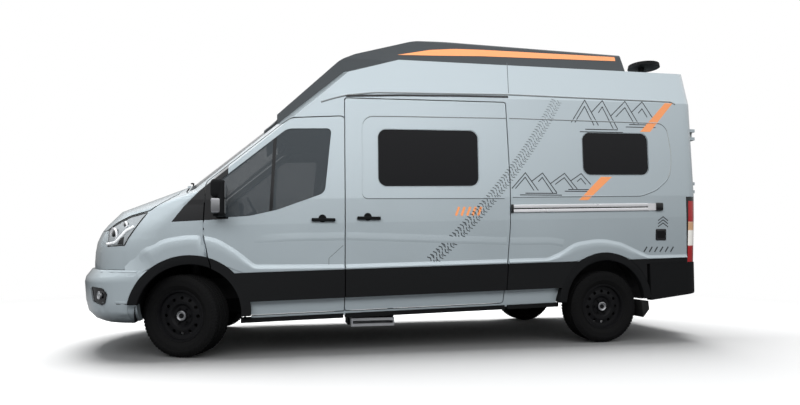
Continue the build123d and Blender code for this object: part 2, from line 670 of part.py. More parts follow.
with BuildPart() as front_wings:
    add(nose_outer)
    add(nose_inner, mode=Mode.SUBTRACT)
    add(bonnet_clear, mode=Mode.SUBTRACT)
    add(lamp_openings.part, mode=Mode.SUBTRACT)
    add(grille_zone, mode=Mode.SUBTRACT)
    add(front_plate(-FAR, -200, -WIDE, WIDE, 0, SEAM_Z), mode=Mode.SUBTRACT)
    add(front_arch, mode=Mode.SUBTRACT)
    add(front_opening, mode=Mode.SUBTRACT)
    add(block(WING_REAR_S, FAR, -WIDE, WIDE, BELOW, HIGH), mode=Mode.SUBTRACT)
    add(block(WING_INNER_S, FAR, -WING_INNER_Y, WING_INNER_Y, BELOW, HIGH),
        mode=Mode.SUBTRACT)
    for _, sign in SIDES:
        for low in DOOR_HINGE_Z:
            for z in (low, low + DOOR_HINGE_TALL - 10):
                with BuildSketch(level(DOOR_HINGE_S, sign * DOOR_HINGE_Y, z)):
                    Circle(DOOR_HINGE_RADIUS)
                    with Locations((-4, -sign * 1.5)):
                        Rectangle(8, 4.6)
                extrude(amount=10)
            with BuildSketch(level(DOOR_HINGE_S, sign * DOOR_HINGE_Y, low)):
                Circle(DOOR_HINGE_PIN)
            extrude(amount=DOOR_HINGE_TALL)
        for y in BONNET_EYE_Y:
            with BuildSketch(side_plane(sign * y + BONNET_EYE / 2)):
                with Locations((BONNET_HINGE_S, BONNET_HINGE_Z)):
                    Circle(BONNET_HINGE_RADIUS)
                with Locations((BONNET_HINGE_S + 12, BONNET_HINGE_Z - 4)):
                    Rectangle(24, 8)
                with Locations((BONNET_HINGE_S + 18, BONNET_HINGE_Z - 14)):
                    Rectangle(12, 24)
            extrude(amount=BONNET_EYE)
        with BuildSketch(side_plane(sign * BONNET_LUG_Y + BONNET_PIN_LONG / 2)):
            with Locations((BONNET_HINGE_S, BONNET_HINGE_Z)):
                Circle(BONNET_PIN)
        extrude(amount=BONNET_PIN_LONG)
finish(front_wings.part, "front_wings")

with BuildPart() as headlamps:
    add(nose_outer)
    add(lens_back, mode=Mode.SUBTRACT)
    add(lamp_prism, mode=Mode.INTERSECT)
    add(block(-FAR, FAR, -HEADLAMP_INNER_Y - FIT, HEADLAMP_INNER_Y + FIT, BELOW,
              HIGH),
        mode=Mode.SUBTRACT)
finish(headlamps.part, "headlamps")

GRILLE_BARS = 5
GRILLE_FRAME = 16.0
GRILLE_POST = 12.0           # half width of the middle post
with BuildPart() as grille:
    add(nose_outer)
    add(nose_inner, mode=Mode.SUBTRACT)
    add(block(-FAR, GRILLE_BACK_S, -GRILLE_Y + GRILLE_SIDE_FIT, GRILLE_Y - GRILLE_SIDE_FIT,
              GRILLE_Z[0] + GRILLE_SIDE_FIT, GRILLE_Z[1] - GRILLE_SIDE_FIT),
        mode=Mode.INTERSECT)
    add(bonnet_clear, mode=Mode.SUBTRACT)
    pitch = (GRILLE_Z[1] - GRILLE_Z[0] - GRILLE_FRAME) / GRILLE_BARS
    for row in range(GRILLE_BARS):
        low = GRILLE_Z[0] + GRILLE_FRAME + row * pitch
        for sign in (-1, 1):
            near, far = sorted((sign * GRILLE_POST, sign * (GRILLE_Y - GRILLE_FRAME)))
            add(block(-FAR, GRILLE_BACK_S, near, far, low, low + pitch - GRILLE_FRAME),
                mode=Mode.SUBTRACT)
finish(grille.part, "grille")

with BuildPart() as front_bumper:
    add(bumper_outer)
    add(bumper_inner, mode=Mode.SUBTRACT)
    add(front_arch, mode=Mode.SUBTRACT)
    add(front_plate(-FAR, BUMPER_REAR_S, -WIDE, WIDE, 0, SEAM_Z - FIT), mode=Mode.INTERSECT)
finish(front_bumper.part, "front_bumper")

with BuildPart() as arch_trims:
    for centre, z_centre in ((ARCH_S, ARCH_Z), (REAR_ARCH_S, REAR_ARCH_Z)):
        for sign in (-1, 1):
            near, far = sorted((sign * CLADDING_ROOT_Y, sign * CLADDING_Y))
            add(side_drum(centre, z_centre, ARCH_OUTER - FIT, near, far))
    for centre, z_centre in ((ARCH_S, ARCH_Z), (REAR_ARCH_S, REAR_ARCH_Z)):
        add(side_drum(centre, z_centre, ARCH_INNER), mode=Mode.SUBTRACT)
    add(block(-FAR, FAR, -WIDE, WIDE, -FAR, ARCH_FOOT_Z), mode=Mode.SUBTRACT)
    add(front_opening, mode=Mode.SUBTRACT)
    add(block(WING_REAR_S, 1200, -WIDE, WIDE, -FAR, DOOR_FOOT_Z), mode=Mode.SUBTRACT)
finish(arch_trims.part, "arch_trims")

# ---- rear bumper ----------------------------------------------------------------------
with BuildPart() as rear_bumper:
    for inset, mode in ((-12.0, Mode.ADD), (55.0, Mode.SUBTRACT)):
        with BuildSketch(ring_plane(200)):
            with BuildLine():
                tail = REAR_S - inset
                half = HALF_WIDTH - inset - 6
                rounded(((TAIL_BUMPER_S, -half, 0),
                         (tail - REAR_BULGE, -half, REAR_CORNER - inset),
                         (tail, 0, 8000),
                         (tail - REAR_BULGE, half, REAR_CORNER - inset),
                         (TAIL_BUMPER_S, half, 0)))
            make_face()
        extrude(amount=TAIL_BUMPER_Z - 200 - FIT, mode=mode)
    add(side_prism(((4100, 385, 0), (4740, 464, 60), (4768, 533, 60), (5300, 600, 0),
                    (5300, 900, 0), (4100, 900, 0))), mode=Mode.INTERSECT)
    add(side_prism(((TAIL_BUMPER_S - 100, 200, 0), (TAIL_BUMPER_S + 30, 200, 0),
                    (TAIL_BUMPER_S + 5, 800, 0), (TAIL_BUMPER_S - 100, 800, 0))),
        mode=Mode.SUBTRACT)
    add(rear_arch, mode=Mode.SUBTRACT)
    with BuildSketch(ring_plane(400)):
        with Locations((REAR_S + REAR_STEP_DEPTH / 2 - 30, 0)):
            RectangleRounded(REAR_STEP_DEPTH + 60, 1300, 40)
    extrude(amount=110)
finish(rear_bumper.part, "rear_bumper")

# ---- roof cap, hatch and antenna ---------------------------------------------------------
CAP_TOP = ((700, 2066, 0), (1257, 2600, 300), (1394, 2668, 200), (1957, 2852, 500),
           (2500, 2886, 800), (4118, 2908, 40), (4152, 2600, 0), (700, 1900, 0))
CAP_FOOT_Y, CAP_TOP_Y = 745.0, 655.0
CAP_WALL = 22.0


def cap_form(inset):
    """Form of the roof cap, inset from its outer skin."""
    with BuildPart() as form:
        with BuildSketch(Plane(origin=(AXLE_X, 0, 0), x_dir=(0, 1, 0), z_dir=(1, 0, 0))):
            with BuildLine():
                rounded(((-CAP_FOOT_Y - 60, 1900, 0), (-CAP_FOOT_Y, 2620, 0),
                         (-CAP_TOP_Y, 2876, 45), (0, 2905, 6000), (CAP_TOP_Y, 2876, 45),
                         (CAP_FOOT_Y, 2620, 0), (CAP_FOOT_Y + 60, 1900, 0)))
            make_face()
            offset(amount=-inset, kind=Kind.INTERSECTION)
        extrude(amount=FAR)
        with BuildSketch(side_plane(FAR)):
            with BuildLine():
                rounded(CAP_TOP)
            make_face()
            offset(amount=-inset, kind=Kind.INTERSECTION)
        extrude(amount=2 * FAR, mode=Mode.INTERSECT)
    return form.part


roof_seat = cabin_hull(-FIT)
cap_outer = cap_form(0)
with BuildPart() as roof_cap:
    add(cap_outer)
    add(cap_form(CAP_WALL), mode=Mode.SUBTRACT)
    add(roof_seat, mode=Mode.SUBTRACT)
finish(roof_cap.part, "roof_cap")
HATCH = (2650.0, 3350.0, -330.0, 330.0)
HATCH_Z = (2700.0, 2850.0)
with BuildPart() as roof_hatch:
    add(block(*HATCH, *HATCH_Z))
    add(cap_outer, mode=Mode.SUBTRACT)
finish(roof_hatch.part, "roof_hatch")

ANTENNA_S, ANTENNA_Y = 4480.0, -500.0
ANTENNA_MAST, ANTENNA_DISH = 30.0, 160.0
with BuildPart() as antenna:
    with BuildSketch(Plane(origin=(AXLE_X + ANTENNA_S, ANTENNA_Y, 2600))):
        Circle(ANTENNA_MAST)
    extrude(amount=215)
    add(roof_seat, mode=Mode.SUBTRACT)
    with BuildSketch(Plane(origin=(AXLE_X + ANTENNA_S + ANTENNA_MAST, ANTENNA_Y, 2812))):
        Circle(ANTENNA_DISH)
    extrude(amount=34, taper=12)
finish(antenna.part, "antenna")

# ---- floor and bulkhead ------------------------------------------------------------------------
FLOOR_Z = (620.0, 660.0)
FLOOR_S = 440.0              # the floor steps up here to the toe board
FLOOR_END = 140.0            # from the floor's end to the tail
SHEET = 20.0
TOE_Z = (780.0, 812.0)
BULKHEAD_Z = 1600.0
POST_S = (30.0, 104.0)       # foot of the windscreen pillar
POST_Z = 1360.0
WELL_Y = 700.0
DOOR_CLEAR = 7.0
with BuildPart() as door_clear:
    add(block(POST_S[1] + 1, DOOR_REAR_S + SHUT_GAP, -WIDE, WIDE, 300, 2100))
    add(cabin_hull(WALL + DOOR_CLEAR), mode=Mode.SUBTRACT)
with BuildPart() as floor_pan:
    add(block(FLOOR_S, REAR_S - FLOOR_END, -1100, 1100, *FLOOR_Z))
    add(block(-90, FLOOR_S + SHEET, -1100, 1100, *TOE_Z))
    add(block(FLOOR_S, FLOOR_S + SHEET, -900, 900, FLOOR_Z[0], TOE_Z[1]))
    add(block(-SHEET, SHEET, -900, 900, TOE_Z[0], BULKHEAD_Z))
    for sign in (-1, 1):
        add(block(*POST_S, *sorted((sign * 800, sign * 1100)), TOE_Z[0], POST_Z))
        add(block(-SHEET, 2 * SHEET, *sorted((sign * 780, sign * 900)), TOE_Z[0], POST_Z))
        add(side_drum(REAR_ARCH_S, REAR_ARCH_Z, ARCH_OUTER + 12,
                      *sorted((sign * WELL_Y, sign * 1100))))
    add(hull_core, mode=Mode.INTERSECT)
    with BuildPart(mode=Mode.PRIVATE) as ahead:
        add(block(-FAR, POST_S[1], -WIDE, WIDE, 700, 2000))
        add(nose_core, mode=Mode.SUBTRACT)
    add(ahead.part, mode=Mode.SUBTRACT)
    add(door_clear.part, mode=Mode.SUBTRACT)
    for sign in (-1, 1):
        add(side_drum(REAR_ARCH_S, REAR_ARCH_Z, ARCH_OUTER,
                      *sorted((sign * (WELL_Y + 10), sign * 1100))), mode=Mode.SUBTRACT)
        add(block(PILLAR_S[0] - 5, PILLAR_S[1] + 5, *sorted((sign * DOOR_INNER_Y, sign * 1100)),
                  200, 800), mode=Mode.SUBTRACT)
finish(floor_pan.part, "floor_pan")

# ---- chassis frame, with the channels that carry the entry step ---------------------------------
RAIL_Y = 420.0
RAIL_HALF = 37.0
FRAME_Z = (430.0, FLOOR_Z[0] - FIT)
FRAME_END = 85.6             # the rails stop ahead of the rear bumper's inner wall
STEP_S = (1335.0, 1716.0)
STEP_Y = (-940.0, -600.0)
STEP_Z = (214.0, 286.0)
STEP_RUN = 0.5               # clearance between the step and its channels
CHANNEL, CHANNEL_LONG = 16.0, 220.0
with BuildPart() as chassis_frame:
    for sign in (-1, 1):
        add(block(-900, 10, *sorted((sign * (RAIL_Y - RAIL_HALF),
                                     sign * (RAIL_Y + RAIL_HALF))), *FRAME_Z))
    add(nose_hull(BUMPER_RINGS, BUMPER_DEPTH + FIT), mode=Mode.INTERSECT)
    for sign in (-1, 1):
        add(block(0, REAR_S - FRAME_END, *sorted((sign * (RAIL_Y - RAIL_HALF),
                                                  sign * (RAIL_Y + RAIL_HALF))), *FRAME_Z))
    for s in (STEP_S[0] - STEP_RUN - CHANNEL / 2, STEP_S[1] + STEP_RUN + CHANNEL / 2):
        with BuildSketch(Plane.XY.offset(STEP_Z[0])):
            with Locations((AXLE_X + s, STEP_Y[1] - CHANNEL_LONG / 2)):
                Rectangle(CHANNEL, CHANNEL_LONG)
        extrude(amount=500)
    add(block(STEP_S[0] - CHANNEL_LONG, STEP_S[1] + CHANNEL_LONG, -WIDE, -500, FRAME_Z[1], 900),
        mode=Mode.SUBTRACT)
finish(chassis_frame.part, "chassis_frame")

# ---- engine, front suspension ---------------------------------------------------------------
ENGINE_S = (-600.0, -110.0)
ENGINE_Y = 360.0
ENGINE_Z = (442.0, 1020.0)
ENGINE_MOUNT_S = (-420.0, -320.0)
ENGINE_MOUNT_Z = (500.0, 560.0)
with BuildPart() as engine_block:
    add(block(*ENGINE_S, -ENGINE_Y, ENGINE_Y, *ENGINE_Z))
    add(block(*ENGINE_MOUNT_S, -RAIL_Y + RAIL_HALF + FIT, RAIL_Y - RAIL_HALF - FIT,
              *ENGINE_MOUNT_Z))
finish(engine_block.part, "engine_block")

LOWER_ARM_Z = (205.0, 233.0)
UPPER_ARM_Z = (474.0, 496.0)
ARM_HALF, ARM_TIP = 70.0, 24.0       # half width of an arm at its root and its tip
ARM_ROOT_Y, ARM_BEND_Y = 460.0, 680.0
ARM_EYE = 27.0
PIN_RADIUS = 14.0
STRUT_Y = 615.0
STRUT_RADIUS = 42.0
CROSSMEMBER_DROP = 2.5       # below the rails, which rise toward the tail
with BuildPart() as front_subframe:
    with BuildSketch(Plane.XY.offset(LOWER_ARM_Z[0])):
        with Locations((AXLE_X, 0)):
            Rectangle(180, 2 * (RAIL_Y + RAIL_HALF) + 24)
    extrude(amount=FRAME_Z[0] - LOWER_ARM_Z[0] - CROSSMEMBER_DROP - FIT)
    for sign in (-1, 1):
        with BuildSketch(Plane.XY.offset(LOWER_ARM_Z[0])):
            with Locations((AXLE_X, sign * (RAIL_Y + RAIL_HALF + 7))):
                Rectangle(140, 13)
        extrude(amount=UPPER_ARM_Z[1] - LOWER_ARM_Z[0])
        for z_from, z_to in (LOWER_ARM_Z, UPPER_ARM_Z):
            with BuildSketch(Plane.XY.offset(z_from)):
                with BuildLine():
                    Polyline(*((AXLE_X + s, sign * y) for s, y in (
                        (-ARM_HALF, ARM_ROOT_Y), (ARM_HALF, ARM_ROOT_Y),
                        (ARM_HALF, ARM_BEND_Y), (ARM_TIP, STEER_PIVOT_Y),
                        (-ARM_TIP, STEER_PIVOT_Y), (-ARM_HALF, ARM_BEND_Y))), close=True)
                make_face()
                with Locations((AXLE_X, sign * STEER_PIVOT_Y)):
                    Circle(ARM_EYE)
            extrude(amount=z_to - z_from)
        with BuildSketch(Plane.XY.offset(UPPER_ARM_Z[0])):
            with Locations((AXLE_X, sign * STRUT_Y)):
                Circle(STRUT_RADIUS + 8)
        extrude(amount=UPPER_ARM_Z[1] - UPPER_ARM_Z[0], mode=Mode.SUBTRACT)
        with BuildSketch(Plane.XY.offset(LOWER_ARM_Z[0])):
            with Locations((AXLE_X, sign * STEER_PIVOT_Y)):
                Circle(PIN_RADIUS + FIT)
        extrude(amount=400, mode=Mode.SUBTRACT)
        with BuildSketch(Plane.XY.offset(LOWER_ARM_Z[1] - 1)):
            with Locations((AXLE_X, sign * STRUT_Y)):
                Circle(STRUT_RADIUS)
        extrude(amount=TOE_Z[0] - LOWER_ARM_Z[1] - 0.5)
finish(front_subframe.part, "front_subframe")

# ---- wheels -----------------------------------------------------------------------------------
RIM = ((-88, 200), (-88, 214), (-80, 214), (-74, 204), (74, 204), (80, 214), (88, 214),
       (88, 200), (70, 192), (64, 193), (60, 160), (68, 122), (66, 100), (50, 82), (50, 42),
       (60, 38), (66, 30), (66, 0), (38, 0), (38, 31.05), (-12, 31.05), (-12, 60), (38, 60),
       (38, 86), (54, 104), (56, 120), (48, 160), (52, 193.5), (-74, 195))
HALF_TREAD = 92.0
TYRE = ((-73.5, 204.4), (-79.4, 214.5), (-89, 214.8), (-105, 238), (-112.5, 270),
        (-111, 302), (-104, 322), (-HALF_TREAD, 334), (-60, WHEEL_RADIUS),
        (60, WHEEL_RADIUS), (HALF_TREAD, 334), (104, 322), (111, 302), (112.5, 270),
        (105, 238), (89, 214.8), (79.4, 214.5), (73.5, 204.4))
STUB_RADIUS = 31.0
STUB_END = 36.0
WHEEL_HOLES = 12
WHEEL_HOLE_RADIUS = 15.0
WHEEL_HOLE_CIRCLE = 146.0
BRAKE_RADIUS = 150.0
BRAKE_THICK = 26.0


def wheel_plane(s, y, outward, steer, pivot_y):
    """Plane through a wheel's centre: local x points outward along the axle, y up."""
    a = radians(-steer)
    arm = y - pivot_y
    centre = (AXLE_X + s - arm * sin(a), pivot_y + arm * cos(a), WHEEL_RADIUS)
    axle = Vector(-sin(a) * outward, cos(a) * outward, 0)
    return Plane(origin=centre, x_dir=axle, z_dir=axle.cross(Vector(0, 0, 1)))


WHEELS = (
    ("front_left", 0.0, -FRONT_TRACK / 2, -1, REST_STEER, -STEER_PIVOT_Y),
    ("front_right", 0.0, FRONT_TRACK / 2, 1, REST_STEER, STEER_PIVOT_Y),
    ("rear_left", WHEELBASE, -REAR_TRACK / 2, -1, 0.0, 0.0),
    ("rear_right", WHEELBASE, REAR_TRACK / 2, 1, 0.0, 0.0),
)
for name, s, y, outward, steer, pivot_y in WHEELS:
    plane = wheel_plane(s, y, outward, steer, pivot_y)
    axle = Axis(plane.origin, plane.x_dir)
    hole_plane = Plane(origin=plane.origin, x_dir=plane.y_dir, z_dir=plane.x_dir)
    with BuildPart() as rim:
        with BuildSketch(plane):
            with BuildLine():
                Polyline(*RIM, close=True)
            make_face()
        revolve(axis=axle)
        with BuildSketch(hole_plane.offset(20)):
            with PolarLocations(WHEEL_HOLE_CIRCLE, WHEEL_HOLES):
                Circle(WHEEL_HOLE_RADIUS)
        extrude(amount=60, mode=Mode.SUBTRACT)
    finish(rim.part, f"rim_{name}")
    with BuildPart() as tyre:
        with BuildSketch(plane):
            with BuildLine():
                Polyline(*TYRE, close=True)
            make_face()
        revolve(axis=axle)
    finish(tyre.part, f"tyre_{name}")

reach = FRONT_TRACK / 2 - STEER_PIVOT_Y
for name, s, y, outward, steer, pivot_y in WHEELS[:2]:
    plane = wheel_plane(s, y, outward, steer, pivot_y)
    across = Plane(origin=plane.origin, x_dir=plane.y_dir, z_dir=plane.x_dir)
    with BuildPart() as knuckle:
        with BuildSketch(Plane(origin=(AXLE_X, pivot_y, LOWER_ARM_Z[0] - 6))):
            Circle(PIN_RADIUS)
        extrude(amount=UPPER_ARM_Z[1] - LOWER_ARM_Z[0] + 12)
        with BuildSketch(Plane(origin=(AXLE_X, pivot_y, LOWER_ARM_Z[1] + 1))):
            Circle(36)
        extrude(amount=UPPER_ARM_Z[0] - LOWER_ARM_Z[1] - 2)
        with BuildSketch(across.offset(-reach)):
            Circle(STUB_RADIUS)
        extrude(amount=reach + STUB_END)
        with BuildSketch(across.offset(-58)):
            Circle(62)
        extrude(amount=14)
        with BuildSketch(across.offset(-44)):
            Circle(BRAKE_RADIUS)
        extrude(amount=BRAKE_THICK)
    finish(knuckle.part, f"knuckle_{name[6:]}")

# ---- rear axle ----------------------------------------------------------------------------------
SPRING_Y = 610.0
SPRING_WIDE = 35.0
SPRING_HALF = 640.0
SPRING_FLAT = 120.0
SPRING_Z = (372.0, 404.0)
HANGER = 60.0
AXLE_TUBE = 38.0
with BuildPart() as rear_axle:
    with BuildSketch(Plane(origin=(AXLE_X + WHEELBASE, -REAR_TRACK / 2 + 20, WHEEL_RADIUS),
                           x_dir=(1, 0, 0), z_dir=(0, 1, 0))):
        Circle(AXLE_TUBE)
    extrude(amount=REAR_TRACK - 40)
    with BuildSketch(Plane(origin=(AXLE_X + WHEELBASE, -REAR_TRACK / 2 - STUB_END,
                                   WHEEL_RADIUS), x_dir=(1, 0, 0), z_dir=(0, 1, 0))):
        Circle(STUB_RADIUS)
    extrude(amount=REAR_TRACK + 2 * STUB_END)
    for sign in (-1, 1):
        with BuildSketch(Plane(origin=(AXLE_X + WHEELBASE, sign * (REAR_TRACK / 2 - 18),
                                       WHEEL_RADIUS), x_dir=(1, 0, 0), z_dir=(0, -sign, 0))):
            Circle(BRAKE_RADIUS)
        extrude(amount=BRAKE_THICK)
        with BuildSketch(side_plane(sign * SPRING_Y + SPRING_WIDE)):
            with BuildLine():
                Polyline(*((WHEELBASE + s, z) for s, z in (
                    (-SPRING_HALF, 470), (-SPRING_FLAT, SPRING_Z[0]),
                    (SPRING_FLAT, SPRING_Z[0]), (SPRING_HALF, 500), (SPRING_HALF, 526),
                    (SPRING_FLAT, SPRING_Z[1]), (-SPRING_FLAT, SPRING_Z[1]),
                    (-SPRING_HALF, 496))), close=True)
            make_face()
        extrude(amount=2 * SPRING_WIDE)
        for end, z_from in ((-SPRING_HALF, 372), (SPRING_HALF - HANGER, 390)):
            near, far = sorted((sign * (RAIL_Y + RAIL_HALF + FIT),
                                sign * (SPRING_Y + SPRING_WIDE)))
            add(block(WHEELBASE + end, WHEELBASE + end + HANGER, near, far, z_from,
                      FRAME_Z[1]))
finish(rear_axle.part, "rear_axle")

TANK_S = (1500.0, 2450.0)
TANK_FOOT_Z = 330.0
TANK_CORNER = 50.0
with BuildPart() as fuel_tank:
    add(block(*TANK_S, -RAIL_Y + RAIL_HALF + 6, RAIL_Y - RAIL_HALF - 6, TANK_FOOT_Z,
              FRAME_Z[1]))
    fillet(fuel_tank.edges().filter_by(GeomType.LINE).group_by(Axis.Z)[0], TANK_CORNER)
finish(fuel_tank.part, "fuel_tank")

# ---- cab fittings ----------------------------------------------------------------------------------
DASH_Z = (900.0, 1300.0)
BULKHEAD_S = 20.0 + FIT       # the bulkhead leans forward as the floor rises
STEERING_TILT = 62.0
STEERING_S, STEERING_Y, STEERING_Z = 470.0, 400.0, 1275.0
STEERING_RADIUS = 190.0
STEERING_RIM = 24.0
COLUMN_LONG = 260.0
DASH_Y = 770.0
with BuildPart() as dashboard:
    add(side_prism(((BULKHEAD_S - RISE * (DASH_Z[0] - TOE_Z[0]), DASH_Z[0], 0),
                    (300, DASH_Z[0], 60), (330, 1080, 40), (300, 1230, 60),
                    (120, DASH_Z[1], 60),
                    (BULKHEAD_S - RISE * (DASH_Z[1] - TOE_Z[0]), DASH_Z[1], 0)),
                   -DASH_Y, DASH_Y))
    tilt = Plane(origin=(AXLE_X + STEERING_S, STEERING_Y, STEERING_Z), x_dir=(0, 1, 0),
                 z_dir=(sin(radians(STEERING_TILT)), 0, cos(radians(STEERING_TILT))))
    with BuildSketch(tilt.offset(-9)):
        Circle(STEERING_RADIUS)
        Circle(STEERING_RADIUS - STEERING_RIM, mode=Mode.SUBTRACT)
        with Locations((0, 30)):
            Rectangle(352, 26)
        with Locations((0, -85)):
            Rectangle(30, 175)
        Circle(52)
    extrude(amount=22)
    with BuildSketch(tilt.offset(-9)):
        Circle(30)
    extrude(amount=-COLUMN_LONG)
finish(dashboard.part, "dashboard")

SEAT_Y = 430.0
SEAT_HALF = 250.0
SEAT_BASE_S = (620.0, 1100.0)
SEAT_BASE_Z = 930.0
# side-view outline and how far it lies inside the seat's width
SEAT_FORMS = (
    (((560, 950, 40), (1110, 960, 50), (1110, 1060, 50), (560, 1080, 50)), 0),
    (((1000, 1040, 0), (1130, 1040, 0), (1270, 1620, 50), (1170, 1640, 40)), 0),
    (((1190, 1600, 0), (1240, 1600, 0), (1262, 1700, 0), (1212, 1700, 0)), 200),
    (((1190, 1660, 30), (1290, 1650, 30), (1330, 1850, 40), (1240, 1860, 40)), 120),
)
with BuildPart() as front_seats:
    for sign in (-1, 1):
        near, far = sign * SEAT_Y - SEAT_HALF, sign * SEAT_Y + SEAT_HALF
        add(block(*SEAT_BASE_S, near + 40, far - 40, FLOOR_Z[1] + FIT, SEAT_BASE_Z))
        for outline, narrow in SEAT_FORMS:
            add(side_prism(outline, near + narrow, far - narrow))
finish(front_seats.part, "front_seats")

BED_S = (2860.0, REAR_S - 130)
BED_Z = (1040.0, 1180.0)
BED_LEG_S = (2880.0, 2920.0)
BED_LEG_Y = 650.0
GALLEY_S = (1900.0, 2820.0)
GALLEY_Y = 420.0
GALLEY_TOP_Z = 1250.0
with BuildPart() as camper_furniture:
    add(block(*BED_S, -WIDE, WIDE, *BED_Z))
    add(block(*BED_LEG_S, -BED_LEG_Y, BED_LEG_Y, FLOOR_Z[1] + FIT, BED_Z[0]))
    add(block(*GALLEY_S, GALLEY_Y, WIDE, FLOOR_Z[1] + FIT, GALLEY_TOP_Z))
    add(hull_core, mode=Mode.INTERSECT)
    for sign in (-1, 1):
        add(side_drum(REAR_ARCH_S, REAR_ARCH_Z, ARCH_OUTER + 13,
                      *sorted((sign * (WELL_Y - 1), sign * 1100))), mode=Mode.SUBTRACT)
finish(camper_furniture.part, "camper_furniture")

# ---- entry step ------------------------------------------------------------------------------------
STEP_LIP = 12.0
with BuildPart() as entry_step:
    with BuildSketch(Plane.XY.offset(STEP_Z[0])):
        with Locations((AXLE_X + sum(STEP_S) / 2, sum(STEP_Y) / 2)):
            Rectangle(STEP_S[1] - STEP_S[0], STEP_Y[1] - STEP_Y[0])
    extrude(amount=STEP_Z[1] - STEP_Z[0])
    with BuildSketch(side_plane(-500)):
        with Locations((sum(STEP_S) / 2, sum(STEP_Z) / 2)):
            Rectangle(STEP_S[1] - STEP_S[0] - 2 * STEP_LIP, 26)
    extrude(amount=500, mode=Mode.SUBTRACT)
finish(entry_step.part, "entry_step")
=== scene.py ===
"""Looks of the high-roof camper van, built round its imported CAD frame.

Metres. X runs from the nose to the tail, Y to the van's right, Z up. Stations (s) are
measured rearward from the front axle. Level lines of the body climb toward the tail
by RISE, so a level is a height less RISE times the station.
"""
import json
import math

import bmesh
import bpy
from mathutils import Matrix, Vector
from mathutils.bvhtree import BVHTree

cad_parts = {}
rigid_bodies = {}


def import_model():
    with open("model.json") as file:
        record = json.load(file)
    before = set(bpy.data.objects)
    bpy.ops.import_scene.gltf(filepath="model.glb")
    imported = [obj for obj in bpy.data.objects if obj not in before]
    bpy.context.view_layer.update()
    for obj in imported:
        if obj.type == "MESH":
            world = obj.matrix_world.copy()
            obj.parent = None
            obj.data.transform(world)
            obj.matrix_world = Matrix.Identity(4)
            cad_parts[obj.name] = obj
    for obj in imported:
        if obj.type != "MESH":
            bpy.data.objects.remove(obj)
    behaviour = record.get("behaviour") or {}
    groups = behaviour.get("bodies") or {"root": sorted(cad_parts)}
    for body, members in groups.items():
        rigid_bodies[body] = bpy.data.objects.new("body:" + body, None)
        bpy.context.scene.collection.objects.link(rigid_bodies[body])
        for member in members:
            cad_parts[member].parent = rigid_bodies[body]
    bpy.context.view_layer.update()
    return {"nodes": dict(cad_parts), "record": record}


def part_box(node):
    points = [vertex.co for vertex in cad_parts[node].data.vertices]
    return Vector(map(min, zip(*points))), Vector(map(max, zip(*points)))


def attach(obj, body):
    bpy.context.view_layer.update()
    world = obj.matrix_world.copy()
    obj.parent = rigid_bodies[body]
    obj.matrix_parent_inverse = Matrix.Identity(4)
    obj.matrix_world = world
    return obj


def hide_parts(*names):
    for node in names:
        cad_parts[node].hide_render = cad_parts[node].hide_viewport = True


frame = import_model()

# Main dimensions
WHEELBASE = 3.75
RISE = 0.027
ARCH = (0.010, 0.361, 0.480)            # station, height, radius of the front opening
REAR_ARCH = (3.738, 0.378, 0.480)
CLADDING = (0.4415, 0.6825)             # levels of its edges
LEFT, RIGHT = -1, 1
SIDES = (("left", LEFT), ("right", RIGHT))
# level of the body side's rings and their half width
SIDE_RINGS = ((0.287, 0.955), (0.620, 1.018), (1.080, 1.030), (1.290, 1.028),
              (2.200, 0.968), (2.760, 0.806))

low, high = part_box("tyre_rear_left")
AXLE_X = (low.x + high.x) / 2 - WHEELBASE
joints = {joint["name"]: joint for joint in frame["record"]["behaviour"]["joints"]}


def level_of(s, z):
    """Body level of a height at a station."""
    return z - RISE * s


def skin(level):
    """Half width of the body side at a level."""
    for (z_a, y_a), (z_b, y_b) in zip(SIDE_RINGS, SIDE_RINGS[1:]):
        if level <= z_b:
            break
    t = min(max((level - z_a) / (z_b - z_a), 0.0), 1.2)
    return y_a + (y_b - y_a) * t


def at(s, y, z):
    """Point of the frame from a station, a distance to the right and a height."""
    return Vector((AXLE_X + s, y, z))


def turned(degrees, axis):
    """Turn about one of the axes."""
    return Matrix.Rotation(math.radians(degrees), 4, axis)


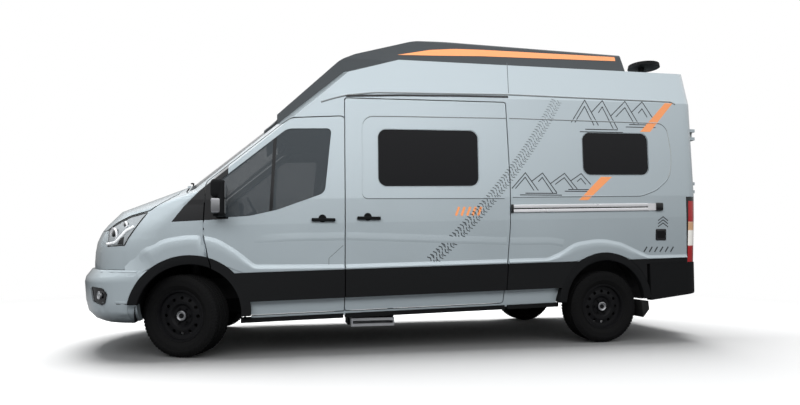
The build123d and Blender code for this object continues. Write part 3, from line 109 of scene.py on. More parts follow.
# Node trees
class Tree:
    """A node tree with short calls for the nodes that the finishes share."""

    def __init__(self, tree):
        self.tree = tree
        self.place = self.node("ShaderNodeTexCoord").outputs

    def node(self, kind, **settings):
        made = self.tree.nodes.new(kind)
        for key, value in settings.items():
            setattr(made, key, value)
        return made

    def link(self, source, target):
        if hasattr(source, "is_linked"):
            self.tree.links.new(source, target)
        else:
            target.default_value = source

    def wired(self, kind, inputs, output=0, **settings):
        """Output of a new node whose inputs are linked or set."""
        made = self.node(kind, **settings)
        for key, value in inputs.items():
            self.link(value, made.inputs[key])
        return made.outputs[output]

    def math(self, operation, a, b=0.0, clamp=False):
        return self.wired("ShaderNodeMath", {0: a, 1: b}, operation=operation, use_clamp=clamp)

    def less(self, a, b):
        return self.math("SUBTRACT", a, b)

    def flip(self, mask):
        return self.less(1.0, mask)

    def times(self, product, *factors):
        for factor in factors:
            product = self.math("MULTIPLY", product, factor)
        return product

    def step(self, value, edge, width=0.0008):
        """0 below an edge and 1 above it."""
        slope = self.math("DIVIDE", self.less(value, edge), width)
        return self.math("ADD", slope, 0.5, clamp=True)

    def mix(self, factor, a, b):
        return self.wired("ShaderNodeMix", {0: factor, 6: a, 7: b}, 2, data_type="RGBA")

    def blend(self, factor, a, b):
        return self.wired("ShaderNodeMix", {0: factor, 2: a, 3: b}, data_type="FLOAT")

    def group(self, tree, **values):
        made = self.node("ShaderNodeGroup", node_tree=tree)
        for key, value in values.items():
            self.link(value, made.inputs[key])
        return made.outputs

    def split(self, vector):
        made = self.node("ShaderNodeSeparateXYZ")
        self.link(vector, made.inputs[0])
        return made.outputs

    def where(self):
        """Station, Y, height and body level of the shaded point."""
        x, y, z = self.split(self.place["Object"])
        s = self.less(x, AXLE_X)
        return s, y, z, self.less(z, self.times(s, RISE))


class Shader(Tree):
    """A material's tree round its Principled node."""

    def __init__(self, name):
        self.material = bpy.data.materials.new(name)
        self.material.use_nodes = True
        super().__init__(self.material.node_tree)
        self.surface = self.tree.nodes["Principled BSDF"]

    def set(self, **values):
        for key, value in values.items():
            self.link(value, self.surface.inputs[key.replace("_", " ")])

    def bump(self, fine, strength, distance):
        self.set(Normal=self.wired("ShaderNodeBump", {
            "Strength": strength, "Distance": distance, "Height": fine}))


class Effect(Tree):
    """A node group with named inputs and outputs."""

    def __init__(self, name, inputs, outputs):
        super().__init__(bpy.data.node_groups.new(name, "ShaderNodeTree"))
        for key, start in inputs.items():
            kind = "NodeSocketColor" if isinstance(start, tuple) else "NodeSocketFloat"
            socket = self.tree.interface.new_socket(key, in_out="INPUT", socket_type=kind)
            socket.default_value = start
        for key in outputs:
            kind = "NodeSocketColor" if key == "Color" else "NodeSocketFloat"
            self.tree.interface.new_socket(key, in_out="OUTPUT", socket_type=kind)
        self.given = self.node("NodeGroupInput").outputs
        self.result = self.node("NodeGroupOutput").inputs

    def out(self, **values):
        for key, value in values.items():
            self.link(value, self.result[key])
        return self.tree


def make_soil():
    """Faint large blotches and fine grain of a colour, as on any used surface."""
    effect = Effect("Soil", {"Base": (0.5, 0.5, 0.5, 1.0), "Amount": 0.08, "Scale": 6.0,
                             "Grain": 300.0}, ("Color", "Rough", "Height"))

    def noise(scale, detail):
        return effect.wired("ShaderNodeTexNoise", {
            "Scale": effect.given[scale], "Detail": detail, "Vector": effect.place["Object"]})

    blotch, grain = noise("Scale", 3.0), noise("Grain", 2.0)
    shift, grit = (effect.times(effect.less(value, 0.5), effect.given["Amount"])
                   for value in (blotch, grain))
    shade = effect.math("ADD", effect.math("ADD", shift, grit), 1.0)
    colour = effect.wired("ShaderNodeVectorMath", {0: effect.given["Base"], 3: shade},
                          operation="SCALE")
    return effect.out(Color=colour, Height=grain,
                      Rough=effect.times(effect.less(blotch, 0.5), 0.16))


def beside(tree, s, z, a, b):
    """1 on the left of the line from a to b as seen with the nose at the left."""
    run, climb = b[0] - a[0], b[1] - a[1]
    span = math.hypot(run, climb)
    across = tree.less(tree.times(tree.less(z, a[1]), run / span),
                       tree.times(tree.less(s, a[0]), climb / span))
    return tree.step(across, 0.0)


# tip, knee, top and foot of the black quarter ahead of the door window
QUARTER = ((-0.154, 1.107), (-0.035, 1.235), (0.126, 1.449), (0.500, 1.150))


def make_zones():
    """Masks of the body side: black cladding, gloss black quarter and inner lining."""
    effect = Effect("Body zones", {}, ("Cladding", "Quarter", "Lining"))
    s, y, z, level = effect.where()
    wide = effect.math("ABSOLUTE", y)
    outside = effect.step(wide, 0.93)
    band = effect.times(outside, effect.step(level, CLADDING[0]),
                        effect.flip(effect.step(level, CLADDING[1])), effect.step(s, 0.2))
    ds, dz = effect.less(s, ARCH[0]), effect.less(z, ARCH[1])
    reach = effect.math("SQRT", effect.math("ADD", effect.times(ds, ds), effect.times(dz, dz)))
    arch = effect.times(outside, effect.flip(effect.step(reach, ARCH[2] + 0.0005)))
    tip, knee, top, foot = QUARTER
    quarter = effect.times(effect.step(wide, 0.90), *(
        beside(effect, s, z, a, b) for a, b in ((tip, foot), (top, knee), (knee, tip))),
        effect.flip(effect.step(s, 0.31)))
    facing = effect.split(effect.place["Normal"])
    inward = effect.times(effect.math("SIGN", y), facing[1])
    wall = effect.math("LESS_THAN", inward, -0.4)
    roof = effect.times(effect.math("LESS_THAN", facing[2], -0.5), effect.step(z, 1.9))
    door = effect.times(effect.math("LESS_THAN", facing[0], -0.5), effect.step(s, 4.4))
    return effect.out(Cladding=effect.math("MAXIMUM", band, arch), Quarter=quarter,
                      Lining=effect.math("MAXIMUM", wall, effect.math("MAXIMUM", roof, door)))


soil = make_soil()
zones = make_zones()

# Finishes
PAINT = (0.455, 0.520, 0.556, 1.0)
PAINT_METAL = 0.5
BLACK = (0.0060, 0.0063, 0.0068, 1.0)
GLOSS_BLACK = (0.006, 0.006, 0.007, 1.0)
LINING = (0.30, 0.29, 0.27, 1.0)
LAMP_RED = (0.36, 0.012, 0.014, 1.0)


def plain(name, colour, rough, metal=0.0, amount=0.10, scale=5.0, grain=260.0, bump=0.0,
          **surface):
    """Material of one colour with soil, and grain in its roughness and relief."""
    shader = Shader(name)
    soiled = shader.group(soil, Base=(*colour, 1.0)[:4], Amount=amount, Scale=scale, Grain=grain)
    shader.set(Base_Color=soiled["Color"], Metallic=metal,
               Roughness=shader.math("ADD", soiled["Rough"], rough, clamp=True), **surface)
    if bump:
        shader.bump(soiled["Height"], bump, 0.0004)
    return shader.material


def make_body_paint():
    """Solid grey-blue paint under clear coat, with the zones that the panels carry."""
    shader = Shader("Body paint")
    zone = shader.group(zones)
    soiled = shader.group(soil, Base=PAINT, Amount=0.05, Scale=1.6, Grain=700.0)
    colour, rough = soiled["Color"], 0.32
    for key, own_colour, own_rough in (("Cladding", BLACK, 0.62), ("Quarter", GLOSS_BLACK, 0.08),
                                       ("Lining", LINING, 0.85)):
        colour = shader.mix(zone[key], colour, own_colour)
        rough = shader.blend(zone[key], rough, own_rough)
    dull = shader.math("MAXIMUM", zone["Cladding"], zone["Lining"])
    bare = shader.math("MAXIMUM", dull, zone["Quarter"])
    shader.set(Base_Color=colour, Roughness=shader.math("ADD", rough, soiled["Rough"], clamp=True),
               Specular_IOR_Level=shader.blend(zone["Cladding"], 0.5, 0.2),
               Metallic=shader.times(shader.flip(bare), PAINT_METAL),
               Coat_Weight=shader.flip(dull), Coat_Roughness=0.06)
    shader.bump(soiled["Height"], 0.06, 0.0003)
    return shader.material


def make_glass(name, colour, see_through, mirror=0.5):
    """Tinted glazing; see_through is how much of the light goes straight on."""
    shader = Shader(name)
    soiled = shader.group(soil, Base=(*colour, 1.0), Amount=0.03, Scale=2.0, Grain=300.0)
    shader.set(Base_Color=soiled["Color"], Roughness=0.02, Alpha=1.0 - see_through,
               Specular_IOR_Level=mirror)
    return shader.material


def make_tail_lamp():
    """Lamp lens in levels: red foot, clear and amber middle, red top under a black edge."""
    shader = Shader("Tail lamp lens")
    s, _, _, level = shader.where()
    clear, amber = (shader.less(shader.step(level, foot, 0.01), shader.step(level, 1.03, 0.01))
                    for foot in (0.80, 0.95))
    black = shader.math("MAXIMUM", shader.step(level, 1.235, 0.004),
                        shader.flip(shader.step(s, 4.630, 0.002)))
    soiled = shader.group(soil, Base=LAMP_RED, Amount=0.3, Scale=60.0, Grain=300.0)
    colour = soiled["Color"]
    for mask, own_colour in ((clear, (0.92, 0.89, 0.84, 1.0)), (amber, (0.62, 0.36, 0.20, 1.0)),
                             (black, GLOSS_BLACK)):
        colour = shader.mix(mask, colour, own_colour)
    ribs = shader.wired("ShaderNodeTexWave", {"Vector": shader.place["Object"], "Scale": 38.0}, 1,
                        bands_direction="Z")
    shader.set(Base_Color=colour, Roughness=0.12, Coat_Weight=1.0, Coat_Roughness=0.02)
    shader.bump(ribs, 0.12, 0.002)
    return shader.material


body_paint = make_body_paint()
tail_lens = make_tail_lamp()
tinted = make_glass("Tinted glass", (0.004, 0.004, 0.005), 0.06, 0.32)
door_tint = make_glass("Door glass", (0.052, 0.062, 0.070), 0.40)
screen_tint = make_glass("Screen glass", (0.040, 0.048, 0.054), 0.55)
clear_lens = make_glass("Clear lens", (0.60, 0.64, 0.66), 0.80)
bumper_paint = plain("Bumper paint", PAINT, 0.32, metal=PAINT_METAL, amount=0.05, scale=1.6,
                     grain=700.0, bump=0.05, Coat_Weight=1.0, Coat_Roughness=0.06)
black_trim = plain("Black trim", BLACK, 0.68, grain=900.0, bump=0.5, Specular_IOR_Level=0.14)
gloss_black = plain("Gloss black", GLOSS_BLACK, 0.10, amount=0.04, Coat_Weight=0.5)
dark_cap = plain("Roof cap moulding", (0.033, 0.038, 0.042), 0.42, grain=800.0, bump=0.3)
rubber = plain("Rubber seal", (0.008, 0.008, 0.008), 0.7, grain=700.0, bump=0.3)
under_steel = plain("Underbody steel", (0.020, 0.020, 0.021), 0.7, amount=0.5, scale=9.0,
                    bump=0.6)
cast_iron = plain("Cast iron", (0.09, 0.085, 0.08), 0.65, metal=0.7, amount=0.5, scale=14.0,
                  grain=240.0, bump=0.8)
wheel_steel = plain("Wheel steel", (0.0040, 0.0040, 0.0046), 0.50, amount=0.2, scale=12.0,
                    bump=0.15, Specular_IOR_Level=0.2)
tyre_rubber = plain("Tyre rubber", (0.0050, 0.0050, 0.0052), 0.88, amount=0.4, scale=18.0,
                    grain=500.0, bump=0.5, Specular_IOR_Level=0.2)
bright = plain("Bright trim", (0.86, 0.86, 0.88), 0.30, metal=0.6, amount=0.05)
silver = plain("Silver metal", (0.58, 0.58, 0.60), 0.32, metal=1.0)
step_metal = plain("Step metal", (0.62, 0.63, 0.65), 0.34, metal=0.9, amount=0.2, grain=350.0,
                   bump=0.3)
cab_plastic = plain("Cab plastic", (0.022, 0.022, 0.024), 0.6, grain=600.0, bump=0.4)
seat_fabric = plain("Woven fabric", (0.035, 0.036, 0.040), 0.9, amount=0.35, grain=900.0,
                    bump=1.0, Sheen_Weight=0.4)
camper_wood = plain("Camper board", (0.42, 0.32, 0.20), 0.5, amount=0.3, scale=3.0, grain=120.0,
                    bump=0.2)
orange = plain("Orange film", (0.78, 0.29, 0.11), 0.40, amount=0.04, Coat_Weight=0.6)
black_film = plain("Black film", (0.020, 0.023, 0.027), 0.35, amount=0.04, Coat_Weight=0.6)
white_lens = plain("White lens", (0.86, 0.88, 0.90), 0.2, amount=0.03, Coat_Weight=1.0)
lamp_silver = plain("Lamp silver", (0.46, 0.49, 0.51), 0.22, metal=0.8, amount=0.2, scale=20.0)
mirror_glass = plain("Mirror glass", (0.86, 0.88, 0.90), 0.03, metal=1.0, amount=0.02)
# Seam shade: dark colour of the fuel flap, roof and bumper joint lines, and painted shade in the
# thin strips under the pressing ribs
seam_shade = plain("Seam shade", (0.085, 0.098, 0.104), 0.5, amount=0.05)
plate_white = plain("Blank plate", (0.62, 0.62, 0.58), 0.4, amount=0.06)
stop_red = plain("Stop lamp lens", LAMP_RED, 0.14, grain=300.0, Coat_Weight=1.0)

for finish, names in (
        (body_paint, "body_side_left body_side_right high_roof front_wings bonnet sliding_door "
                     "front_door_left front_door_right rear_door_left rear_door_right"),
        (bumper_paint, "front_bumper"),
        (black_trim, "arch_trims rear_bumper grille fuel_tank antenna mirror_left mirror_right"),
        (dark_cap, "roof_cap"),
        (tinted, "side_windows rear_glass_left rear_glass_right roof_hatch"),
        (door_tint, "door_glass_left door_glass_right"), (screen_tint, "windscreen"),
        (under_steel, "floor_pan chassis_frame front_subframe rear_axle"),
        (cast_iron, "engine_block knuckle_left knuckle_right"),
        (wheel_steel, "rim_front_left rim_front_right rim_rear_left rim_rear_right"),
        (cab_plastic, "dashboard"), (seat_fabric, "front_seats"), (bright, "slide_rail"),
        (camper_wood, "camper_furniture"), (clear_lens, "headlamps"), (step_metal, "entry_step"),
        (tail_lens, "tail_lamps")):
    for name in names.split():
        mesh = frame["nodes"][name].data
        mesh.materials.clear()
        mesh.materials.append(finish)


# Making pieces
def piece(name, bm, material, slot, body="van_body", smooth=30.0, replaces=()):
    """Turn a finished bmesh into a piece that rides on a CAD body."""
    mesh = bpy.data.meshes.new(name)
    bm.to_mesh(mesh)
    bm.free()
    made = bpy.data.objects.new(name, mesh)
    bpy.context.collection.objects.link(made)
    mesh.materials.append(material)
    if smooth:
        mesh.shade_smooth()
        mesh.set_sharp_from_angle(angle=math.radians(smooth))
    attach(made, body)
    if replaces:
        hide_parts(*replaces)
    return made


def outward(bm):
    """Turn all faces outward."""
    bmesh.ops.recalc_face_normals(bm, faces=bm.faces[:])


def move_all(bm, matrix):
    """Place everything made so far."""
    bmesh.ops.transform(bm, matrix=matrix, verts=bm.verts[:])


def cut(bm, point, normal, **clear):
    """Cut everything along a plane and give the cut's edges."""
    made = bmesh.ops.bisect_plane(bm, geom=bm.verts[:] + bm.edges[:] + bm.faces[:], dist=1e-6,
                                  plane_co=point, plane_no=normal, **clear)["geom_cut"]
    return [item for item in made if isinstance(item, bmesh.types.BMEdge)]


def grow(bm, move):
    """Give a sheet its thickness."""
    grown = bmesh.ops.extrude_face_region(bm, geom=bm.faces[:])["geom"]
    for item in grown:
        if isinstance(item, bmesh.types.BMVert):
            item.co += Vector(move)
    outward(bm)


def round_edges(bm, edges, offset, segments, **shape):
    """Bevel edges."""
    bmesh.ops.bevel(bm, geom=edges, offset=offset, segments=segments, affect="EDGES", **shape)


def face_of(bm, points):
    """One face through points."""
    return bm.faces.new([bm.verts.new(point) for point in points])


def rounded_outline(corners, steps=6):
    """Points of a closed outline whose corners (a, b, radius) become short arcs."""
    points = []
    corners = [(*corner, 0)[:3] for corner in corners]
    for i, (a, b, radius) in enumerate(corners):
        here = Vector((a, b))
        if not radius:
            points.append(here)
            continue
        back = (Vector(corners[i - 1][:2]) - here).normalized()
        on = (Vector(corners[(i + 1) % len(corners)][:2]) - here).normalized()
        half = back.angle(on) / 2
        run = radius / math.tan(half)
        centre = here + (back + on).normalized() * (radius / math.sin(half))
        start = here + back * run - centre
        turn = start.angle_signed(here + on * run - centre)
        for k in range(steps + 1):
            points.append(centre + Matrix.Rotation(-turn * k / steps, 2) @ start)
    return points


def open_path(corners, steps=6):
    """Points of an open path whose inner corners (a, b, radius) become arcs."""
    rounded = rounded_outline([corners[0][:2], *corners[1:-1], corners[-1][:2]], steps)
    fine = []
    for a, b in zip(rounded, rounded[1:]):
        pieces = max(1, math.ceil((b - a).length / 0.12))
        fine += [a.lerp(b, k / pieces) for k in range(pieces)]
    return fine + [rounded[-1]]


def square(s_from, s_to, z_from, z_to, corner=0, rise=0.0):
    """Side-view rectangle with round corners, which climbs with the body by rise."""
    return rounded_outline([(s, z + rise * s, corner) for s, z in (
        (s_from, z_from), (s_to, z_from), (s_to, z_to), (s_from, z_to))])


def side_face(bm, outline, ring=0.0):
    """Flat side-view face from (s, z) points, or the band of a width inside it."""
    face = face_of(bm, [at(s, 0, z) for s, z in outline])
    if ring:
        bmesh.ops.inset_region(bm, faces=[face], thickness=ring, use_even_offset=True,
                               use_boundary=True)
        bmesh.ops.delete(bm, geom=[face], context="FACES")


def upright(bm, outline, y, depth):
    """Plate with a side-view outline, from a distance y inward."""
    side_face(bm, outline)
    for vert in bm.verts:
        vert.co.y = y
    grow(bm, (0, -math.copysign(depth, y), 0))


def on_skin(s, z, side, lift):
    """Point of the body side, lifted off it."""
    return at(s, side * (skin(level_of(s, z)) + lift), z)


def side_panel(bm, side, lift, depth, step=0.08):
    """Cut flat side-view faces along levels, lay them on the body side, thicken them."""
    heights = [vert.co.z for vert in bm.verts]
    levels = [math.floor(min(heights) / step) * step]
    while levels[-1] < max(heights):
        levels.append(levels[-1] + step)
    for level in levels[1:] + [ring[0] for ring in SIDE_RINGS]:
        cut(bm, (AXLE_X, 0, level), (-RISE, 0, 1))
    for vert in bm.verts:
        vert.co.y = on_skin(vert.co.x - AXLE_X, vert.co.z, side, lift).y
    grow(bm, (0, -side * depth, 0))


def cut_grid(bm, step, axes):
    """Cut flat faces along a grid so that they can bend."""
    for axis in axes:
        places = [vert.co[axis] for vert in bm.verts]
        normal = Vector([1.0 if k == axis else 0.0 for k in range(3)])
        place = math.floor(min(places) / step) * step + step
        while place < max(places):
            cut(bm, normal * place, normal)
            place += step


def box(bm, centre, size, bevel, segments, turn=None):
    """Box with rounded edges."""
    made = bmesh.ops.create_cube(bm, size=1.0)["verts"]
    bmesh.ops.scale(bm, vec=Vector(size), verts=made)
    edges = list({edge for vert in made for edge in vert.link_edges})
    faces = bmesh.ops.bevel(bm, geom=edges, offset=bevel, segments=segments, affect="EDGES",
                            profile=0.5, material=-1)["faces"]
    made = list({vert for face in faces for vert in face.verts}
                | {vert for vert in made if vert.is_valid})
    if turn is not None:
        bmesh.ops.transform(bm, matrix=turn, verts=made)
    bmesh.ops.translate(bm, vec=Vector(centre), verts=made)


def rod(bm, start, end, radius, sides=12):
    """Round bar between two points."""
    turn = (end - start).to_track_quat("Z", "Y").to_matrix().to_4x4()
    bmesh.ops.create_cone(bm, cap_ends=True, segments=sides, radius1=radius, radius2=radius,
                          depth=(end - start).length,
                          matrix=Matrix.Translation((start + end) / 2) @ turn)


def close(bm, edges):
    """Fill what the edges leave open."""
    bmesh.ops.holes_fill(bm, edges=edges, sides=0)
    outward(bm)


def swept(bm, profile, path, place):
    """Tube whose closed profile follows a path; place sets each point of it."""
    rows, columns = len(profile), len(path) - 1
    grid = bmesh.ops.create_grid(bm, x_segments=columns, y_segments=rows, size=0.5)["verts"]
    for vert in grid:
        i = round((vert.co.x + 0.5) * columns)
        j = round((vert.co.y + 0.5) * rows) % rows
        vert.co = place(path, i, profile[j])
    bmesh.ops.remove_doubles(bm, verts=grid, dist=1e-6)
    close(bm, [edge for edge in bm.edges if edge.is_boundary])


def spun(bm, profile, place, steps=64):
    """Spin a profile of (along, radius) points round local X."""
    verts = [bm.verts.new((along, 0, radius)) for along, radius in profile]
    edges = [bm.edges.new(pair) for pair in zip(verts, verts[1:])]
    bmesh.ops.spin(bm, geom=verts + edges, cent=(0, 0, 0), axis=(1, 0, 0),
                   angle=2 * math.pi, steps=steps, use_merge=True)
    bmesh.ops.remove_doubles(bm, verts=bm.verts[:], dist=1e-6)
    outward(bm)
    move_all(bm, place)


def tree_of(thing):
    """Search tree of an object's surface."""
    return BVHTree.FromObject(thing, bpy.context.evaluated_depsgraph_get())


def trees_of(*names):
    """Search trees of CAD nodes' surfaces."""
    return [tree_of(frame["nodes"][name]) for name in names]


def onto(trees, origin, direction, lift):
    """First point where a ray meets the surfaces, lifted off along the normal there."""
    direction = Vector(direction)
    hits = [tree.ray_cast(Vector(origin), direction) for tree in trees]
    hits = [hit for hit in hits if hit[0] is not None]
    if not hits:
        return None
    place, normal, _, _ = min(hits, key=lambda hit: hit[3])
    return place + (-normal if normal.dot(direction) > 0 else normal) * lift


def lay(bm, trees, axis, direction, lift):
    """Bring a flat sheet onto surfaces along an axis; what misses them goes."""
    ray = [direction if k == axis else 0 for k in range(3)]
    missed = []
    for vert in bm.verts:
        met = onto(trees, vert.co, ray, 0.0)
        if met:
            vert.co[axis] = met[axis] - direction * lift
        else:
            missed.append(vert)
    bmesh.ops.delete(bm, geom=missed, context="VERTS")


def heading(path, i):
    """Unit direction of a path at one of its points."""
    return (path[min(i + 1, len(path) - 1)] - path[max(i - 1, 0)]).normalized()


def along(put, side):
    """Placing of a profile (across, lift) along a side-view path; put sets its points."""
    def place(path, i, point):
        run = heading(path, i)
        return put(path[i][0] - run[1] * point[0], path[i][1] + run[0] * point[0], side,
                   point[1])
    return place


# Whole pieces of one kind; each ends with what piece() takes after the bmesh
def spin_piece(name, profile, place, steps, *rest):
    """Piece spun round an axle."""
    bm = bmesh.new()
    spun(bm, profile, place, steps)
    piece(name, bm, *rest)


def sweep_piece(name, section, corners, place, *rest):
    """Piece drawn along a side-view path."""
    bm = bmesh.new()
    swept(bm, section, open_path(corners), place)
    piece(name, bm, *rest)


def sheet_piece(name, outline, bend, side, lift, depth, *rest, ring=0.0):
    """Piece cut out in side view and bent onto the skin or the nose."""
    bm = bmesh.new()
    side_face(bm, outline, ring)
    bend(bm, side, lift, depth)
    piece(name, bm, *rest)


def crease(name, corners, wide, high, material, slot, side):
    """Rounded rib along a side-view path on the body side."""
    half, low = wide / 2, high * 0.3
    section = ((-half, -0.004), (half, -0.004), (half, low), (half * 0.5, high),
               (-half * 0.5, high), (-half, low))
    sweep_piece(name, section, corners, along(on_skin, side), material, slot)


# Wheels
# distance from the wheel's middle plane and radius; grooves run round the tread
TYRE_PROFILE = (
    (-0.0735, 0.2046), (-0.080, 0.2150), (-0.089, 0.2152), (-0.0935, 0.222), (-0.1015, 0.232),
    (-0.1085, 0.250), (-0.1105, 0.252), (-0.1105, 0.258), (-0.1120, 0.262), (-0.1125, 0.274),
    (-0.1120, 0.286), (-0.1130, 0.288), (-0.1125, 0.296), (-0.1105, 0.302), (-0.1060, 0.316),
    (-0.1000, 0.327), (-0.0920, 0.3345), (-0.0640, 0.3385), (-0.0620, 0.3310), (-0.0540, 0.3310),
    (-0.0520, 0.3392), (-0.0240, 0.3400), (-0.0220, 0.3315), (-0.0140, 0.3315), (-0.0120, 0.3400),
)
# blocks of the tread: distance along the axle, radius, size, turn and its axis
TREAD = ((0.0815, 0.3335, (0.030, 0.0185, 0.010), 12, "Z"),
         (0.038, 0.3356, (0.024, 0.0200, 0.010), 12, "Z"),
         (0.1060, 0.3090, (0.007, 0.0150, 0.026), -24, "Y"))
TREAD_BLOCKS = 72
CAP = ((0.060, 0.043), (0.070, 0.043), (0.0755, 0.041), (0.0770, 0.037), (0.0740, 0.033),
       (0.0715, 0.030), (0.0700, 0.020), (0.0705, 0.0))
CAP_BADGE = ((0.0690, 0.0215), (0.0725, 0.0215), (0.0735, 0.0195), (0.0722, 0.016),
             (0.0728, 0.0))
RIM_LIP = [(0.088 + 0.004 * math.cos(a), 0.2115 + 0.004 * math.sin(a))
           for a in [math.radians(30 * k) for k in range(13)]]


def wheel_matrix(joint, side):
    """Place of a wheel: local X outward along the axle, Z up."""
    centre = Vector(joints[joint]["pos_m"])
    axle = Vector(joints[joint]["axis"]).normalized()
    if axle.y * side < 0:
        axle.negate()
    up = Vector((0, 0, 1))
    turn = Matrix((axle, up.cross(axle), up)).transposed().to_4x4()
    return Matrix.Translation(centre) @ turn


def make_tyre(place):
    """Tyre with circumferential grooves, shoulder cuts and sidewall rings."""
    bm = bmesh.new()
    for side in (-1, 1):
        for out, radius, size, degrees, axis in TREAD:
            box(bm, (side * out, 0, radius), size, 0.0015, 1, turned(side * degrees, axis))
    bmesh.ops.spin(bm, geom=bm.verts[:] + bm.edges[:] + bm.faces[:], cent=(0, 0, 0),
                   axis=(1, 0, 0), angle=2 * math.pi, steps=TREAD_BLOCKS, use_duplicate=True)
    other = [(-out, radius) for out, radius in reversed(TYRE_PROFILE)]
    spun(bm, (*TYRE_PROFILE, *other, TYRE_PROFILE[0]), Matrix.Identity(4), 96)
    move_all(bm, place)
    return bm


def make_cap_badge(place):
    """Dark disc in the middle of the cap, with a raised ring of studs."""
    bm = bmesh.new()
    spun(bm, CAP_BADGE, Matrix.Identity(4), 32)
    for k in range(3):
        turn = turned(120 * k + 30, "X")
        box(bm, turn @ Vector((0.0725, 0, 0.010)), (0.003, 0.005, 0.011), 0.001, 1, turn)
    move_all(bm, place)
    return bm


def make_wheel_nuts(place):
    """Six nuts and their studs round the hub."""
    bm = bmesh.new()
    for k in range(6):
        nut = (place @ turned(60 * k + 30, "X") @ Matrix.Translation((0.058, 0, 0.0625))
               @ turned(90, "Y"))
        for sides, wide, narrow, deep in ((6, 0.0125, 0.0125, 0.018), (12, 0.006, 0.005, 0.030)):
            bmesh.ops.create_cone(bm, cap_ends=True, segments=sides, radius1=wide,
                                  radius2=narrow, depth=deep, matrix=nut)
    return bm


for label, side in [(f"{end}_{name}", side) for end in ("front", "rear") for name, side in SIDES]:
    place = wheel_matrix(f"{label}_spin", side)
    body = f"wheel_{label}"
    piece(f"tyre_{label}_tread", make_tyre(place), tyre_rubber, "tyre", body,
          replaces=(f"tyre_{label}",))
    spin_piece(f"wheel_cap_{label}", CAP, place, 40, silver, "wheel_steel", body)
    piece(f"wheel_badge_{label}", make_cap_badge(place), wheel_steel, "wheel_steel", body)
    piece(f"wheel_nuts_{label}", make_wheel_nuts(place), wheel_steel, "wheel_steel", body)
    spin_piece(f"rim_lip_{label}", RIM_LIP, place, 64, wheel_steel, "wheel_steel", body)

# Front wheel houses: liner's (radius, distance from the middle), from outside to the inner wall
LINER = ((0.429, 0.985), (0.429, 0.445), (0.16, 0.445))
LINER_FROM, LINER_SWEEP = math.radians(-8), math.radians(196)
for label, side in SIDES:
    bm = bmesh.new()
    verts = [bm.verts.new(at(ARCH[0] + radius * math.cos(LINER_FROM), side * y,
                             ARCH[1] + radius * math.sin(LINER_FROM))) for radius, y in LINER]
    edges = [bm.edges.new(pair) for pair in zip(verts, verts[1:])]
    bmesh.ops.spin(bm, geom=verts + edges, cent=at(ARCH[0], 0, ARCH[1]), axis=(0, -1, 0),
                   angle=LINER_SWEEP, steps=40)
    outward(bm)
    bmesh.ops.solidify(bm, geom=bm.faces[:], thickness=0.004)
    outward(bm)
    piece(f"wheel_liner_{label}", bm, black_trim, "black_trim")

# Window surrounds, seals and handles
WINDOWS = (("slider", (1.560, 2.474, 1.392, 1.894)), ("rear", (3.514, 4.202, 1.492, 1.894)))
WINDOW_CORNER = 0.075
PANE_EDGE = 0.022
PANE_OVERLAP = 0.004
DOOR_WINDOW = ((0.285, 1.150, 0.015), (0.252, 1.462, 0.020), (0.785, 1.908, 0.130),
               (1.158, 1.926, 0.035), (1.098, 1.368, 0.080), (0.700, 1.218, 0.500),
               (0.480, 1.165, 0.300))
GLASS_POST = ((0.637, 1.205), (0.665, 1.207), (0.700, 1.842), (0.672, 1.820))
for label, side in SIDES:
    for part, (s_from, s_to, z_from, z_to) in WINDOWS:
        sheet_piece(f"window_frame_{part}_{label}",
                    square(s_from - PANE_OVERLAP, s_to + PANE_OVERLAP, z_from - PANE_OVERLAP,
                           z_to + PANE_OVERLAP, WINDOW_CORNER, RISE),
                    side_panel, side, 0.004, 0.010, rubber, "black_trim",
                    ring=PANE_EDGE + PANE_OVERLAP)
for label, side in SIDES:
    body = f"front_door_{label}"
    sheet_piece(f"door_seal_{label}", rounded_outline(DOOR_WINDOW, 8), side_panel, side, 0.0015,
                0.007, rubber, "black_trim", body, ring=0.020)
    sheet_piece(f"door_glass_post_{label}", GLASS_POST, side_panel, side, -0.004, 0.004,
                gloss_black, "black_trim", body)

HANDLES = (
    ("front_left", 0.985, 1.185, 1.138, LEFT, "front_door_left"),
    ("front_right", 0.985, 1.185, 1.138, RIGHT, "front_door_right"),
    ("sliding", 1.372, 1.575, 1.156, LEFT, "van_body"),
)
HANDLE_CUP = ((-0.004, 0.034), (0.002, 0.034), (0.004, 0.031), (0.001, 0.026), (0.0005, 0.0))
for name, s_from, s_to, z, side, body in HANDLES:       # pull bar over a round cup
    bm = bmesh.new()
    middle, span, y = (s_from + s_to) / 2, s_to - s_from, side * skin(level_of(s_from, z))
    spun(bm, HANDLE_CUP, Matrix.Translation(at(middle - span * 0.04, y, z + 0.012))
         @ turned(90 * side, "Z"), 28)
    box(bm, at(middle, y + side * 0.024, z), (span, 0.014, 0.028), 0.0069, 4)
    for end in (-1, 1):
        box(bm, at(middle + end * span * 0.42, y + side * 0.010, z), (0.030, 0.040, 0.026),
            0.008, 3)
    piece(f"handle_{name}", bm, black_trim, "black_trim", body)

# Swellings over the wheels: ridge lines from the wing to the tail
FLARE = ((-0.470, 0.735), (-0.328, 0.874, 0.2), (-0.177, 0.950, 0.3), (0.013, 0.985, 0.5),
         (0.206, 0.962, 0.3), (0.363, 0.862, 0.3), (0.515, 0.738, 0.10), (1.264, 0.737))
SLIDER_FLARE = ((1.280, 0.737), (2.745, 0.776))
REAR_FLARE = ((2.771, 0.777), (3.150, 0.787, 0.15), (3.290, 0.846, 0.25), (3.430, 0.930, 0.3),
              (3.690, 0.968, 0.6), (3.900, 0.930, 0.3), (4.090, 0.850, 0.3), (4.190, 0.808, 0.12),
              (4.620, 0.815))
# (outward distance, or share of the way to the trim; lift)
FLARE_SECTION = ((-0.034, -0.003), (-0.024, 0.0), (-0.010, 0.0030), (0.0, 0.0065), (0.12, 0.0100),
                 (0.5, 0.0115), (1.0, 0.0085), (1.0, -0.003))
DOOR_GAP = ((0.122, 0.982), (0.170, 0.721))
TRIM_GAP = 0.001


